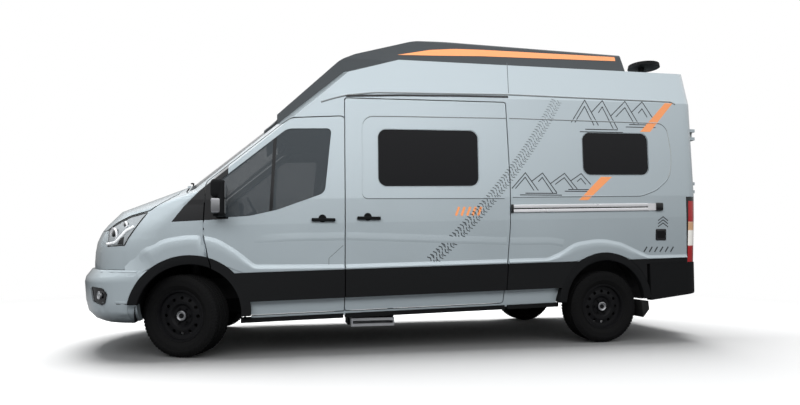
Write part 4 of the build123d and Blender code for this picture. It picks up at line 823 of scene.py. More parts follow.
def flare_foot(point):
    """Nearest place of the trim's edge below a point of the ridge."""
    centre = ARCH if point[0] < 2.0 else REAR_ARCH
    middle = Vector(centre[:2])
    rim = middle + (point - middle).normalized() * (centre[2] + TRIM_GAP)
    flat = Vector((point[0], CLADDING[1] + RISE * point[0] + TRIM_GAP))
    return min(rim, flat, key=lambda foot: (foot - point).length)


def flare(name, corners, put, side, body, keep=0):
    """Skin swollen between a ridge line and the trim; keep picks a side of the door gap."""
    def place(path, i, point):
        run, here = heading(path, i), path[i]
        if point[0] < 0:
            here = here + Vector((run[1], -run[0])) * point[0]
        else:
            here = here.lerp(flare_foot(here), point[0])
        fade = min(1.0, (i + 0.3) / 6) if keep < 0 and point[1] > 0 else 1.0
        return put(here[0], here[1], side, point[1] * fade)
    bm = bmesh.new()
    swept(bm, FLARE_SECTION, open_path(corners, 5), place)
    if keep:
        (s_top, z_top), (s_low, z_low) = DOOR_GAP
        across = Vector((z_top - z_low, 0, s_low - s_top)).normalized()
        close(bm, cut(bm, at(s_top, 0, z_top) + across * 0.0035 * keep, across,
                      clear_outer=keep < 0, clear_inner=keep > 0))
    piece(name, bm, body_paint, "body_paint", body, 50)


for label, side in SIDES:
    flare(f"flare_door_{label}", FLARE[3:], on_skin, side, f"front_door_{label}", keep=1)
    flare(f"flare_slider_{label}", SLIDER_FLARE, on_skin, side, "van_body")
    flare(f"flare_rear_{label}", REAR_FLARE, on_skin, side, "van_body")

# Nose
nose_trees = trees_of("front_wings", "bonnet", "headlamps", "front_bumper", "grille")


def beside_nose(s, z, side, lift):
    """Point of the nose met from the side, or the nearest one beside a gap."""
    met = onto(nose_trees, at(s, side * 2.0, z), (0, -side, 0), lift)
    if met is None:
        near = [tree.find_nearest(at(s, side * 0.95, z)) for tree in nose_trees]
        met = at(s, min(near, key=lambda found: found[3])[0].y + side * lift, z)
    return met


def on_wing(s, z, side, lift):
    """Point of the wing, lifted straight sideways."""
    return beside_nose(s, z, side, 0.0) + Vector((0, side * lift, 0))


def nose_sheet(bm, side, lift, depth):
    """Bend side-view faces onto the nose and give them thickness."""
    cut_grid(bm, 0.03, (0, 2))
    for vert in bm.verts:
        vert.co = beside_nose(vert.co.x - AXLE_X, vert.co.z, side, lift)
    grow(bm, (0, -side * depth, 0))


def tube(bm, path, radius, sides=8):
    """Round bar through points in space."""
    angles = [2 * math.pi * k / sides for k in range(sides)]

    def place(points, i, point):
        run = heading(points, i)
        level = run.cross(Vector((0, 0, 1)))
        level = level.normalized() if level.length > 1e-3 else Vector((1, 0, 0))
        return points[i] + level * point[0] + level.cross(run) * point[1]
    swept(bm, [(radius * math.cos(a), radius * math.sin(a)) for a in angles], path, place)


def reshaped(node, name, material, slot, change):
    """Piece in a CAD node's place: a merged copy of its mesh, changed."""
    bm = bmesh.new()
    bm.from_mesh(frame["nodes"][node].data)
    bmesh.ops.remove_doubles(bm, verts=bm.verts[:], dist=1e-5)
    bmesh.ops.dissolve_limit(bm, angle_limit=math.radians(0.5), verts=bm.verts[:],
                             edges=bm.edges[:])
    bm.normal_update()
    change(bm)
    return piece(name, bm, material, slot, replaces=(node,))


BUMPER_FOOT = (0.440, 0.290)     # below the first height the bumper is drawn up to the second
BUMPER_LOW = 0.215
SEAM = (0.769, 0.722)            # built seam between bumper and wing, and where it shows
SHOULDER = 0.635
TRIM_FOOT = 0.446
WING_END = -0.2                  # station behind which wings and trims keep their shape


def draw_bumper(bm):
    """Raise the bumper's foot and lower its top edge."""
    top, foot = BUMPER_FOOT
    for vert in bm.verts:
        z = vert.co.z
        if z < top:
            vert.co.z = top - (top - z) * (top - foot) / (top - BUMPER_LOW)
        elif z > SHOULDER:
            vert.co.z = SHOULDER + (z - SHOULDER) * (SEAM[1] - SHOULDER) / (SEAM[0] - SHOULDER)


def draw_wings(bm):
    """Bring the wings' lower edge down to the bumper."""
    for vert in bm.verts:
        if vert.co.z < SEAM[0] + 0.004 and vert.co.x - AXLE_X < WING_END:
            vert.co.z -= SEAM[0] - SEAM[1] - 0.003


def draw_arches(bm):
    """Cut the front trims off level above the bumper's crease."""
    cut(bm, (0, 0, TRIM_FOOT), (0, 0, 1))
    middles = [(face, face.calc_center_median()) for face in bm.faces]
    bmesh.ops.delete(bm, context="FACES", geom=[
        face for face, middle in middles
        if middle.z < TRIM_FOOT and middle.x - AXLE_X < WING_END])
    bmesh.ops.holes_fill(bm, edges=[edge for edge in bm.edges if edge.is_boundary], sides=0)
    rims = [edge for edge in bm.edges if edge.is_manifold and edge.calc_face_angle() > 1.0
            and min(abs(vert.co.y) for vert in edge.verts) > 1.035]
    round_edges(bm, rims, 0.006, 3, profile=0.5, material=-1, clamp_overlap=True)


skins = [reshaped("front_bumper", "bumper_skin", bumper_paint, "bumper_paint", draw_bumper),
         reshaped("front_wings", "wing_skin", body_paint, "body_paint", draw_wings)]
reshaped("arch_trims", "arch_skin", black_trim, "black_trim", draw_arches)
# the reshaped skins take the places of the first wing and bumper trees
nose_trees = [tree_of(made) for made in skins] + nose_trees[1:3] + nose_trees[4:]

FOG = rounded_outline((
    (-0.788, 0.586, 0.015), (-0.669, 0.576, 0.040), (-0.628, 0.530, 0.030),
    (-0.648, 0.454, 0.015), (-0.677, 0.439, 0.015), (-0.766, 0.465, 0.015)))
FOG_LAMP = (-0.693, 0.518)
FOG_BOWL = ((0.0, 0.034), (0.014, 0.034), (0.016, 0.031), (0.010, 0.028), (0.004, 0.016),
            (0.003, 0.0))
FOG_LENS = ((0.008, 0.0285), (0.014, 0.026), (0.018, 0.016), (0.020, 0.0))
LIGHT_BAR = ((-0.655, 0.933), (-0.616, 0.935), (-0.571, 0.947), (-0.526, 0.993),
             (-0.481, 1.038), (-0.421, 1.071))
LAMP_EDGE = ((-0.648, 0.912), (-0.494, 0.921), (-0.457, 0.987), (-0.356, 1.134),
             (-0.322, 1.182), (-0.470, 1.146), (-0.585, 1.094), (-0.657, 1.046))
LAMP_INSERT = ((-0.556, 0.927), (-0.505, 0.925), (-0.500, 0.990), (-0.530, 0.975))
LAMP_BOWLS = ((-0.599, 1.009, 0.058), (-0.500, 1.085, 0.034))
BOWL = ((0.0, 1.0), (0.012, 1.0), (0.015, 0.93), (0.010, 0.80), (0.000, 0.62), (-0.002, 0.5))
PROJECTOR = ((0.0, 0.66), (0.006, 0.60), (0.013, 0.34), (0.015, 0.0))
GASKET = ((-0.005, -0.003), (0.005, -0.003), (0.004, 0.003), (-0.004, 0.003))
WASHER = ((-0.006, -0.002), (0.006, -0.002), (0.005, 0.004), (-0.005, 0.004))
# ribs of the bumper: path, width, height and finish
BUMPER_RIBS = (
    ("crease", ((-0.555, 0.450), (-0.392, 0.449)), 0.010, 0.0015, seam_shade),
    ("lip", ((-0.560, 0.465), (-0.392, 0.464)), 0.016, 0.005, bumper_paint),
    ("brow", ((-0.700, 0.7085), (-0.392, 0.7085)), 0.018, 0.006, bumper_paint),
)
trim_edge = [(ARCH[0] - (ARCH[2] + TRIM_GAP) * math.cos(math.radians(a)),
              ARCH[1] + (ARCH[2] + TRIM_GAP) * math.sin(math.radians(a)))
             for a in (34.0, 37.5, 41.0, 44.5, 48.0, 48.6, 51.0, 53.5, 56.0, 58.0)]
# ends that meet the arch trim, and the bumper's foot ahead of the wheel: outline,
# station whose width they take, outward gap, depth, finish and slot
NOSE_ENDS = (
    ("bumper_end", [(-0.388, SEAM[1] - 0.003), (-0.388, 0.630)] + trim_edge[:5], -0.396, 0.0,
     0.012, bumper_paint, "body_paint"),
    ("wing_end", [(-0.388, 0.770), (-0.388, SEAM[1] + 0.002)] + trim_edge[5:], -0.396, 0.0,
     0.012, body_paint, "body_paint"),
    ("bumper_foot", ((-0.486, 0.443), (-0.400, 0.443), (-0.394, 0.302), (-0.486, 0.298)),
     -0.492, 0.001, 0.10, bumper_paint, "bumper_paint"),
)

for label, side in SIDES:
    for name, outline, s, gap, depth, finish, slot in NOSE_ENDS:
        bm = bmesh.new()
        side_face(bm, outline)
        cut_grid(bm, 0.02, (2,))
        for vert in bm.verts:
            vert.co.y = beside_nose(s, vert.co.z, side, 0.0).y + side * gap
        grow(bm, (0, -side * depth, 0))
        piece(f"{name}_{label}", bm, finish, slot, smooth=35)
    for name, path, wide, high, finish in BUMPER_RIBS:
        half = wide / 2
        section = ((-half, -0.006), (half, -0.006), (half * 0.9, high * 0.4), (0.0, high),
                   (-half * 0.9, high * 0.4))
        sweep_piece(f"bumper_{name}_{label}", section, path, along(beside_nose, side), finish,
                    "bumper_paint", "van_body", 50)
    sheet_piece(f"fog_recess_{label}", FOG, nose_sheet, side, 0.0015, 0.006, gloss_black,
                "black_trim", "van_body", 40)
    sheet_piece(f"fog_frame_{label}", FOG, nose_sheet, side, 0.008, 0.010, black_trim,
                "black_trim", "van_body", 40, ring=0.012)
    turn = Vector((-0.80, side * 0.60, 0)).to_track_quat("X", "Z").to_matrix().to_4x4()
    place = Matrix.Translation(beside_nose(*FOG_LAMP, side, 0.0)) @ turn
    spin_piece(f"fog_bowl_{label}", FOG_BOWL, place, 28, silver, "bright_rail")
    spin_piece(f"fog_lens_{label}", FOG_LENS, place, 28, clear_lens, "lamp_glass")
    # headlamp: silver housing, bowls and light bar behind a clear lens
    sheet_piece(f"lamp_back_{label}", LAMP_EDGE, nose_sheet, side, 0.001, 0.002, lamp_silver,
                "lamp_glass", "van_body", 50)
    for k, (s, z, radius) in enumerate(LAMP_BOWLS):
        place = Matrix.Translation(beside_nose(s, z, side, -0.006)) @ turn
        for name, profile, finish in (("bowl", BOWL, bright),
                                      ("projector", PROJECTOR, gloss_black)):
            sized = [(out, radius * share) for out, share in profile]
            spin_piece(f"lamp_{name}_{k}_{label}", sized, place, 32, finish, "lamp_glass")
    bm = bmesh.new()
    tube(bm, [beside_nose(s, z, side, 0.002) for s, z in LIGHT_BAR], 0.013)
    piece(f"light_bar_{label}", bm, white_lens, "lamp_glass")
    sheet_piece(f"lamp_insert_{label}", LAMP_INSERT, nose_sheet, side, 0.003, 0.003, gloss_black,
                "lamp_glass")
    sweep_piece(f"lamp_gasket_{label}", GASKET, LAMP_EDGE, along(beside_nose, side), rubber,
                "black_trim")
    flare(f"flare_wing_{label}", FLARE[:6], on_wing, side, "van_body", keep=-1)
    sweep_piece(f"washer_mark_{label}", WASHER, ((-0.040, 1.366), (-0.004, 1.390)),
                along(beside_nose, side), black_trim, "black_trim")

# Mirrors: a two-part housing on an arm, with its glass facing back
MIRROR_S, MIRROR_Y, MIRROR_Z = (0.190, 0.300), (1.080, 1.238), (1.150, 1.440)
MIRROR_SPLIT = 1.292
s_mid, deep = sum(MIRROR_S) / 2, MIRROR_S[1] - MIRROR_S[0]
(low, high), wide = MIRROR_Z, MIRROR_Y[1] - MIRROR_Y[0]
for label, side in SIDES:
    body, y_mid = f"front_door_{label}", side * sum(MIRROR_Y) / 2
    bm = bmesh.new()
    box(bm, at(s_mid, y_mid, (MIRROR_SPLIT + high) / 2 + 0.004),
        (deep, wide, high - MIRROR_SPLIT), 0.034, 5)
    box(bm, at(MIRROR_S[1] - 0.030, y_mid, (low + high) / 2), (0.058, wide, high - low), 0.024, 4)
    box(bm, at(s_mid - 0.01, side * 1.02, low + 0.045), (0.050, 0.150, 0.052), 0.014, 3)
    box(bm, at(s_mid, y_mid - side * 0.02, low + 0.014), (0.080, 0.110, 0.030), 0.012, 3)
    piece(f"mirror_shell_{label}", bm, black_trim, "black_trim", body,
          replaces=(f"mirror_{label}",))
    bm = bmesh.new()
    box(bm, at(s_mid - 0.012, y_mid + side * 0.002, (low + MIRROR_SPLIT) / 2 + 0.012),
        (deep - 0.034, wide, MIRROR_SPLIT - low - 0.022), 0.016, 4)
    piece(f"mirror_cap_{label}", bm, silver, "bright_rail", body)
    for name, bottom, top in (("upper", MIRROR_SPLIT + 0.004, high - 0.022),
                              ("lower", low + 0.022, MIRROR_SPLIT - 0.006)):
        bm = bmesh.new()
        box(bm, at(MIRROR_S[1] + 0.0005, y_mid, (bottom + top) / 2),
            (0.004, wide - 0.036, top - bottom), 0.0015, 1)
        piece(f"mirror_glass_{name}_{label}", bm, mirror_glass, "bright_rail", body)

# Wipers
screen_trees = trees_of("windscreen")


def on_screen(y, z, lift):
    """Point of the windscreen met from ahead."""
    met = onto(screen_trees, (-5.0, y, z), (1, 0, 0), lift)
    if met is None:
        met = screen_trees[0].find_nearest(at(-0.1, y, z))[0] + Vector((-lift, 0, lift))
    return met


for (label, side), inner, outer in zip(SIDES, (0.060, 0.020), (0.640, 0.600)):
    start, end = side * outer, side * inner
    blade = [on_screen(start + (end - start) * k / 10, 1.400 + 0.035 * k / 10, 0.014)
             for k in range(11)]
    foot = on_screen(start, 1.370, 0.020)
    tip = (blade[5] + blade[6]) / 2 + Vector((-0.012, 0, 0.004))
    bm = bmesh.new()
    tube(bm, blade, 0.006)
    tube(bm, [foot, foot.lerp(tip, 0.5) + Vector((-0.008, 0, 0)), tip], 0.007)
    piece(f"wiper_{label}", bm, black_trim, "black_trim")

# Cab seats and mattress
SEAT_Y = 0.430
# centre (station, height), length, thickness, width, lean in degrees
SEAT_PADS = (("cushion", (0.835, 1.020), 0.540, 0.125, 0.490, -4.0),
             ("backrest", (1.135, 1.330), 0.600, 0.125, 0.480, 77.0),
             ("headrest", (1.287, 1.755), 0.200, 0.085, 0.250, 80.0))


def make_pad(name, centre, long, thick, wide, lean, y):
    """Crowned cushion whose sides pull in between its corners."""
    bm = bmesh.new()
    bmesh.ops.create_cube(bm, size=1.0)
    bmesh.ops.subdivide_edges(bm, edges=bm.edges[:], cuts=11, use_grid_fill=True)
    for vert in bm.verts:
        u, v, w = vert.co * 2
        crown = (1 - max(abs(u), abs(v)) ** 4) * 0.5 + 0.5
        seam = 0.10 * math.exp(-(abs(v) - 0.58) ** 2 / 0.004) * (1 - abs(u) ** 6)
        vert.co = ((u * (1 - 0.035 * (1 - v * v))) * long / 2,
                   (v * (1 - 0.030 * (1 - u * u))) * wide / 2,
                   w * (crown - seam) * thick / 2)
    move_all(bm, Matrix.Translation(at(centre[0], y, centre[1])) @ turned(-lean, "Y"))
    bmesh.ops.smooth_vert(bm, verts=bm.verts[:], factor=0.5, use_axis_x=True, use_axis_y=True,
                          use_axis_z=True)
    piece(name, bm, seat_fabric, "seat_fabric", smooth=60)


for label, side in SIDES:
    y = side * SEAT_Y
    bm = bmesh.new()
    box(bm, at(0.860, y, 0.850), (0.460, 0.400, 0.210), 0.025, 3)
    box(bm, at(0.860, y, 0.740), (0.520, 0.340, 0.050), 0.015, 2)
    for across in (-0.060, 0.060):
        rod(bm, at(1.215, y + across, 1.600), at(1.270, y + across, 1.730), 0.007)
    piece(f"chair_base_{label}", bm, cab_plastic, "cab_plastic",
          replaces=("front_seats",) if side == LEFT else ())
    for name, *pad in SEAT_PADS:
        make_pad(f"chair_{name}_{label}", *pad, y)
make_pad("mattress", (3.700, 1.225), 1.640, 0.095, 1.560, 0.0, 0.0)

# Dark moulding over the windscreen
BROW_FROM, BROW_TO, BROW_HALF = 0.585, 1.400, 0.640
ABOVE_ALL = 4.0
bm = bmesh.new()
face_of(bm, [at(s, y, ABOVE_ALL) for s, y in (
    (BROW_FROM, -BROW_HALF), (BROW_TO, -BROW_HALF), (BROW_TO, BROW_HALF), (BROW_FROM, BROW_HALF))])
cut_grid(bm, 0.05, (0, 1))
lay(bm, trees_of("high_roof", "roof_cap", "windscreen"), 2, -1, 0.014)
grow(bm, (0, 0, -0.030))
piece("cap_brow", bm, dark_cap, "dark_cap", smooth=40)

# Blank plates, the rear handle and the high stop lamp, laid on the faces they meet:
# what they lie on, sense along X, sides, heights, thickness, and the piece's own
for name, under, sense, sides, heights, thick, *rest in (
        ("plate_rear", trees_of("rear_door_left"), 1, (-0.620, -0.100), (0.960, 1.072), 0.007,
         plate_white, "bright_rail", "rear_door_left"),
        ("plate_front", nose_trees, -1, (-0.260, 0.260), (0.560, 0.672), 0.007,
         plate_white, "bright_rail", "van_body"),
        ("rear_handle", trees_of("rear_door_right"), 1, (0.050, 0.190), (1.180, 1.230), 0.016,
         black_trim, "black_trim", "rear_door_right"),
        ("stop_lamp", trees_of("high_roof"), 1, (-0.170, 0.170), (2.420, 2.450), 0.006,
         stop_red, "red_lens", "van_body")):
    bm = bmesh.new()
    face_of(bm, [at(6.0 if sense > 0 else -3.0, sides[a], heights[b])
                 for a, b in ((0, 0), (1, 0), (1, 1), (0, 1))])
    cut_grid(bm, 0.03, (1, 2))
    lay(bm, under, 0, -sense, -0.001)
    grow(bm, ((thick + 0.001) * sense, 0, 0))
    rims = [edge for edge in bm.edges if edge.is_manifold and edge.calc_face_angle(0.0) > 1.0]
    round_edges(bm, rims, 0.002, 2)
    piece(name, bm, *rest, 40)

# Pressings, panel lines, sill strips and roof lines
FLAP_LINE = ((1.132, 0.480), (1.132, 0.812, 0.02), (1.254, 0.922))
FLAP_SECTION = ((-0.0018, -0.002), (0.0018, -0.002), (0.0018, 0.0008), (-0.0018, 0.0008))
PRESSINGS = (("door", ((0.480, 0.955), (0.800, 0.975, 0.5), (1.262, 0.985))),
             ("slider", ((1.285, 0.986), (2.740, 0.948))),
             ("quarter", ((2.775, 0.946), (3.180, 0.950, 0.4), (3.300, 0.930))))
WIDE_SECTION = ((-0.030, -0.003), (-0.018, 0.0004), (-0.004, 0.0035), (0.004, 0.0035),
                (0.050, 0.0), (0.050, -0.003))
SILL_STRIPS = (("front", 0.405, 1.262), ("middle", 1.280, 2.745), ("rear", 2.771, 3.280))
SILL_LEVELS = (0.262, 0.301)
RAIL_LINE = ((1.281, 2.216), (1.762, 2.249, 2.0), (2.317, 2.275, 3.0), (2.780, 2.292))
ROOF_SEAM = ((2.790, 2.330), (2.812, 2.640))
PANEL_LINES = (     # name, path, width, height
    ("gutter_bead", ((1.069, 2.160), (1.172, 2.196, 0.3), (1.281, 2.229, 0.5),
                     (1.540, 2.270, 0.9), (2.784, 2.322, 3.0), (4.478, 2.343, 0.05),
                     (4.530, 2.322)), 0.012, 0.004),
    ("slider_pressing", ((2.720, 1.356), (1.421, 1.331, 0.045), (1.421, 2.050, 0.100),
                         (1.759, 2.064, 2.0), (2.752, 2.095)), 0.008, 0.0022),
    ("rear_pressing", ((2.785, 2.097), (4.415, 2.121, 0.110), (4.471, 1.761, 0.6),
                       (4.427, 1.584, 0.2), (4.284, 1.464, 0.25), (4.120, 1.404, 0.3),
                       (2.800, 1.368)), 0.008, 0.0022),
)


def fading(put):
    """Placing whose lift grows over the first points of the path."""
    def place(path, i, point):
        lift = point[1] * min(1.0, i / 3) if point[1] > 0 else point[1]
        return put(path, i, (point[0], lift if i else lift - 0.0006))
    return place


sweep_piece("flap_line", FLAP_SECTION, FLAP_LINE, along(on_skin, LEFT), seam_shade, "black_trim",
            "front_door_left")
for label, side in SIDES:
    for name, path in PRESSINGS:
        on_door, put = name == "door", along(on_skin, side)
        sweep_piece(f"pressing_{name}_{label}", WIDE_SECTION, path,
                    fading(put) if on_door else put, body_paint, "body_paint",
                    f"front_door_{label}" if on_door else "van_body", 50)
for label, side in SIDES:
    for name, s_from, s_to in SILL_STRIPS:
        bm = bmesh.new()
        upright(bm, square(s_from, s_to, *SILL_LEVELS, rise=RISE), side * 0.972, 0.10)
        piece(f"sill_strip_{name}_{label}", bm, black_trim, "black_trim", smooth=0)
for label, side in SIDES:
    for name, path, wide, high in PANEL_LINES:
        # under each rib a thin dark strip: painted shade below the pressing, along the gutter bead
        # partly its dark seam line
        lower = [(s, z - wide, *radius) for s, z, *radius in path]
        crease(f"{name}_{label}", path, wide, high, body_paint, "body_paint", side)
        crease(f"{name}_seam_{label}", lower, wide * 0.7, 0.0012, seam_shade, "body_paint", side)
    crease(f"roof_seam_{label}", ROOF_SEAM, 0.006, 0.0012, seam_shade, "body_paint", side)
crease("slider_rail_line", RAIL_LINE, 0.020, 0.004, gloss_black, "black_trim", LEFT)

# Film decoration
FILM = 0.0008
FILM_DEPTH = 0.0015
TRACK = ((2.031, 0.777), (2.748, 1.530), (3.268, 2.290))
TRACK_ROWS = 62
TRACK_OFFSETS = (-0.0290, 0.0290)        # of the two strips from the band's middle line
TRACK_WIDTH = 0.046                     # of one strip
# strokes of the line motif in a unit square: two ranges of peaks joined by level lines
MOTIF = (
    ((0.00, 0.30), (0.14, 1.00)), ((0.14, 1.00), (0.30, 0.22)), ((0.04, 0.30), (0.14, 0.80)),
    ((0.14, 0.80), (0.25, 0.22)), ((0.22, 0.62), (0.34, 1.00)), ((0.34, 1.00), (0.52, 0.12)),
    ((0.30, 0.62), (0.34, 0.80)), ((0.34, 0.80), (0.47, 0.12)), ((0.44, 0.52), (0.60, 1.00)),
    ((0.60, 1.00), (0.76, 0.30)), ((0.50, 0.50), (0.60, 0.80)), ((0.60, 0.80), (0.71, 0.30)),
    ((0.68, 0.66), (0.80, 1.00)), ((0.80, 1.00), (0.92, 0.52)), ((0.76, 0.64), (0.80, 0.78)),
    ((0.80, 0.78), (0.86, 0.52)), ((0.10, 0.00), (0.58, 0.00)), ((0.16, 0.08), (0.52, 0.08)),
    ((0.62, 0.18), (0.96, 0.18)), ((0.66, 0.26), (0.90, 0.26)),
)
MOTIF_PLACES = (    # name, two foot points and the rise
    ("upper", (3.403, 1.995), (4.330, 2.018), (0.020, 0.305)),
    ("lower", (2.790, 1.384), (3.640, 1.396), (0.020, 0.205)),
)
DIAGONALS = (("upper", ((4.415, 2.320), (4.499, 2.322), (4.238, 2.027), (4.129, 2.023))),
             ("lower", ((3.695, 1.573), (3.810, 1.576), (3.552, 1.350), (3.460, 1.348))))


def track_at(t):
    """Point and direction of the track band's middle line."""
    a, b, c = (Vector(point) for point in TRACK)
    b = b * 2 - (a + c) / 2
    point = a.lerp(b, t).lerp(b.lerp(c, t), t)
    return point, (b.lerp(c, t) - a.lerp(b, t)).normalized()


def track_strokes():
    """Two strips of tread marks that climb the body side."""
    for row in range(TRACK_ROWS):
        point, run = track_at((row + 0.5) / TRACK_ROWS)
        across = Vector((run[1], -run[0]))
        thin = 0.35 + 0.65 * (1 - row / TRACK_ROWS)
        for offset in TRACK_OFFSETS:
            lean = run * 0.011 * (1 if offset > 0 else -1)
            middle = point + across * offset
            half = across * TRACK_WIDTH / 2
            yield middle - half + lean, middle - across * 0.003, 0.009 * thin
            yield middle + across * 0.004, middle + half + lean, 0.008 * thin
            if row % 2:
                yield (middle - across * 0.012 - run * 0.010,
                       middle + across * 0.012 - run * 0.013, 0.005 * thin)


def motif_strokes(start, end, rise):
    """Line motif set between two foot points."""
    start, end, rise = Vector(start), Vector(end), Vector(rise)
    for a, b in MOTIF:
        yield start.lerp(end, a[0]) + rise * a[1], start.lerp(end, b[0]) + rise * b[1], 0.0085


def quarter_strokes():
    """Slanted marks behind the rear wheel, and chevrons over the service hatch."""
    for s in [4.150 + k * 0.058 for k in range(6)]:
        yield (s, 0.868), (s + 0.026, 0.908), 0.012
    for peak in [1.128 + k * 0.030 for k in range(3)]:
        yield (4.300, peak - 0.020), (4.350, peak + 0.015), 0.009
        yield (4.350, peak + 0.015), (4.400, peak - 0.020), 0.009


def accent_strokes():
    """Row of short slanted bars on the sliding door."""
    for k in range(5):
        s, z = 2.262 + k * 0.052, 1.198 + k * 0.001
        yield (s, z), (s + 0.022, z + 0.058), 0.022


def film(name, strokes, *rest):
    """Straight side-view bars (from, to, width) laid on the body side."""
    bm = bmesh.new()
    for a, b, wide in strokes:
        a, b = Vector(a), Vector(b)
        run = (b - a).normalized() * wide / 2
        across = Vector((-run[1], run[0]))
        side_face(bm, [a - run + across, a - run - across, b + run - across, b + run + across])
    side_panel(bm, LEFT, FILM, FILM_DEPTH)
    piece(name, bm, *rest, smooth=0)


film("track_marks", track_strokes(), black_film, "black_trim")
for label, *place in MOTIF_PLACES:
    film(f"motif_{label}", motif_strokes(*place), black_film, "black_trim")
for label, corners in DIAGONALS:
    sheet_piece(f"diagonal_{label}", corners, side_panel, LEFT, FILM * 1.5, 0.002, orange,
                "body_paint", "van_body", 0)
film("accent_bars", accent_strokes(), orange, "body_paint")
film("rear_quarter_marks", quarter_strokes(), black_film, "black_trim")

# Service hatch, slide rail and mud flaps
HATCH = square(4.272, 4.384, 0.974, 1.085, 0.012)
HATCH_LID = square(4.290, 4.366, 0.996, 1.066, 0.008)
RAIL_ENDS = (2.786, 4.175)
RAIL_LEVEL = 1.182
RAIL_PARTS = (      # name, lift of its middle, height, outward reach, finish
    ("upper", 0.023, 0.024, 0.0185, bright), ("lower", -0.022, 0.024, 0.0185, bright),
    ("core", 0.0, 0.018, 0.0155, gloss_black))
FLAP = ((4.139, 0.392), (4.217, 0.390), (4.228, 0.308), (4.162, 0.230))
bm = bmesh.new()
side_face(bm, HATCH)
side_panel(bm, LEFT, 0.006, 0.010)
round_edges(bm, [edge for edge in bm.edges if edge.calc_face_angle(0) > 1.0], 0.0025, 2,
            profile=0.5, material=-1)
piece("service_hatch", bm, gloss_black, "black_trim")
sheet_piece("service_hatch_lid", HATCH_LID, side_panel, LEFT, 0.0085, 0.004, black_trim,
            "black_trim")
for part, lift, tall, out, finish in RAIL_PARTS:
    half = tall / 2
    section = ((-half, -0.004), (half, -0.004), (half, out - 0.003), (half - 0.004, out),
               (-half + 0.004, out), (-half, out - 0.003))
    sweep_piece(f"rail_{part}", section, [(s, RAIL_LEVEL + RISE * s + lift) for s in RAIL_ENDS],
                along(on_skin, LEFT), finish, "bright_rail")
for label, s_from, s_to in (("front", 2.778, 2.800), ("rear", 4.262, 4.335)):
    bm = bmesh.new()
    middle = (s_from + s_to) / 2
    box(bm, at(middle, -1.040, RAIL_LEVEL + RISE * middle), (s_to - s_from, 0.036, 0.078), 0.008, 3)
    piece(f"rail_end_{label}", bm, gloss_black, "black_trim")
for label, side in SIDES:
    bm = bmesh.new()
    upright(bm, FLAP, side * 0.995, 0.22)
    round_edges(bm, bm.edges[:], 0.004, 2, profile=0.5, material=-1)
    piece(f"mud_flap_{label}", bm, rubber, "black_trim")

# Stripe of the roof cap
STRIPE = ((1.790, 2.690), (2.113, 2.709, 0.0), (2.620, 2.742, 0.0), (4.060, 2.800, 0.01),
          (4.060, 2.846, 0.01), (2.620, 2.812, 1.5), (2.360, 2.800, 1.2), (2.110, 2.768, 0.6))
CAP_HALF = 0.68                 # width taken where a ray passes the cap
cap_trees = trees_of("roof_cap")
for label, side in SIDES:
    bm = bmesh.new()
    side_face(bm, rounded_outline(STRIPE, 5))
    bmesh.ops.triangulate(bm, faces=bm.faces[:])
    for k in range(22):
        cut(bm, at(1.9 + 0.1 * k, 0, 0), (1, 0, 0))
    for vert in bm.verts:
        met = onto(cap_trees, (vert.co.x, side * 2.0, vert.co.z), (0, -side, 0), 0.002)
        vert.co.y = met.y if met else side * CAP_HALF
    grow(bm, (0, -side * 0.004, 0))
    piece(f"roof_stripe_{label}", bm, orange, "dark_cap", smooth=0)

# Camera, light and floor
FLOOR_HALF = 60.0
FLOOR_REACH = 6.5               # beyond this the floor is plain white to the camera
FLOOR_SEEN = (0.80, 0.80, 0.80, 1.0)
FLOOR_BOUNCE = (0.20, 0.205, 0.21, 1.0)
# (share of the way up, grey) of the surround that lights the van and that it mirrors
LIT_BY = ((0.49, 0.06), (0.90, 0.45), (0.60, 0.26))
MIRRORED = ((0.480, 0.16), (0.74, 1.0), (0.60, 0.45))
WHITE = (1.0, 1.0, 1.0, 1.0)
CAMERA_PLACE = (-1.2602, -5.878, 0.8919)
CAMERA_TURN = 12.0              # degrees from straight across the van
CAMERA_LENS, CAMERA_SHIFT = 25.58, 0.058
LAMPS = (           # name, place, aim, size, power
    ("overhead", (0.0, 1.6, 7.0), (0.0, -0.4, 0.0), (10.0, 5.0), 1350.0),
    ("left side", (-1.5, -6.8, 4.4), (-0.5, 0.0, 1.8), (9.0, 3.0), 660.0),
    ("right side", (1.0, 7.5, 3.2), (0.5, 0.0, 1.3), (9.0, 3.0), 90.0),
    ("nose", (-8.0, -1.0, 5.6), (-3.0, 0.0, 1.2), (5.0, 3.0), 110.0),
    ("tail", (9.0, 0.5, 4.2), (3.0, 0.0, 1.5), (5.0, 3.0), 260.0))


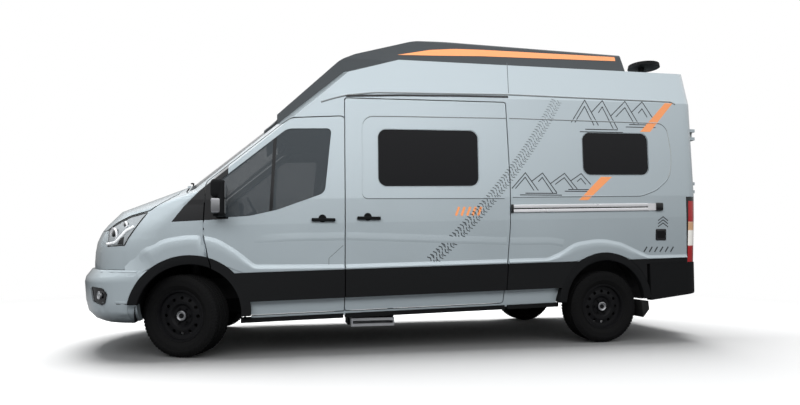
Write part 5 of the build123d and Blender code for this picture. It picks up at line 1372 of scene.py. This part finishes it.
def make_stage():
    """Pale floor that shows the shadow and is white to the camera elsewhere."""
    bm = bmesh.new()
    bmesh.ops.create_grid(bm, x_segments=1, y_segments=1, size=FLOOR_HALF)
    mesh = bpy.data.meshes.new("floor")
    bm.to_mesh(mesh)
    bm.free()
    floor = bpy.data.objects.new("floor", mesh)
    floor.location.z = -0.001
    bpy.context.collection.objects.link(floor)
    shader = Shader("Studio floor")
    seen = shader.node("ShaderNodeLightPath").outputs["Is Camera Ray"]
    shader.set(Base_Color=shader.mix(seen, FLOOR_BOUNCE, FLOOR_SEEN), Roughness=0.9,
               Specular_IOR_Level=0.0)
    away = shader.wired("ShaderNodeVectorMath", {0: shader.place["Object"]}, "Value",
                        operation="LENGTH")
    far = shader.times(shader.step(away, FLOOR_REACH, 3.0), seen)
    glow = shader.node("ShaderNodeEmission").outputs[0]
    mixed = shader.wired("ShaderNodeMixShader", {0: far, 1: shader.surface.outputs[0], 2: glow})
    shader.link(mixed, shader.tree.nodes["Material Output"].inputs[0])
    mesh.materials.append(shader.material)
    floor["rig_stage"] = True


def make_world():
    """Soft studio surround: white above, greyer at the horizon, white to the camera."""
    world = bpy.data.worlds.new("Studio")
    bpy.context.scene.world = world
    world.use_nodes = True
    world.node_tree.nodes.clear()
    sky = Tree(world.node_tree)
    rise = sky.wired("ShaderNodeMath", {0: sky.split(sky.place["Generated"])[2], 1: 0.5, 2: 0.5},
                     operation="MULTIPLY_ADD")

    def surround(stops):
        made = sky.node("ShaderNodeValToRGB")
        sky.link(rise, made.inputs[0])
        places = made.color_ramp.elements
        for k, (place, grey) in enumerate(stops):
            stop = places[k] if k < 2 else places.new(place)
            stop.position = place
            stop.color = (grey * 0.985, grey, grey * 1.01, 1.0)
        return sky.wired("ShaderNodeBackground", {0: made.outputs[0]})

    path = sky.node("ShaderNodeLightPath").outputs
    shown = sky.wired("ShaderNodeMixShader", {
        0: path["Is Glossy Ray"], 1: surround(LIT_BY), 2: surround(MIRRORED)})
    straight = sky.math("MAXIMUM", path["Is Camera Ray"], path["Is Transmission Ray"])
    white = sky.wired("ShaderNodeBackground", {0: WHITE})
    shown = sky.wired("ShaderNodeMixShader", {0: straight, 1: shown, 2: white})
    sky.link(shown, sky.node("ShaderNodeOutputWorld").inputs[0])


def area_light(name, place, aim, size, power):
    """Large soft lamp."""
    light = bpy.data.lights.new(name, "AREA")
    light.shape = "RECTANGLE"
    light.size, light.size_y = size
    light.energy = power
    made = bpy.data.objects.new(name, light)
    bpy.context.collection.objects.link(made)
    made.location = place
    made.rotation_euler = (Vector(aim) - Vector(place)).to_track_quat("-Z", "Y").to_euler()
    made.visible_glossy = False
    return made


def make_camera():
    """Camera beside the van's left, a little ahead of its middle and low."""
    data = bpy.data.cameras.new("camera")
    camera = bpy.data.objects.new("camera", data)
    bpy.context.collection.objects.link(camera)
    bpy.context.scene.camera = camera
    data.sensor_width = 36.0
    data.lens = CAMERA_LENS
    data.shift_y = CAMERA_SHIFT
    camera.location = CAMERA_PLACE
    camera.rotation_euler = (math.pi / 2, 0.0, -math.radians(CAMERA_TURN))


make_stage()
make_world()
_, *fills = [area_light(*lamp) for lamp in LAMPS]
dressed = bpy.data.collections.new("Lit by the fill lamps")
for made in bpy.data.objects:
    if made.type == "MESH" and not made.get("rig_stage"):
        dressed.objects.link(made)
for fill in fills:
    fill.light_linking.receiver_collection = dressed
make_camera()
bpy.context.scene.view_settings.view_transform = "Standard"
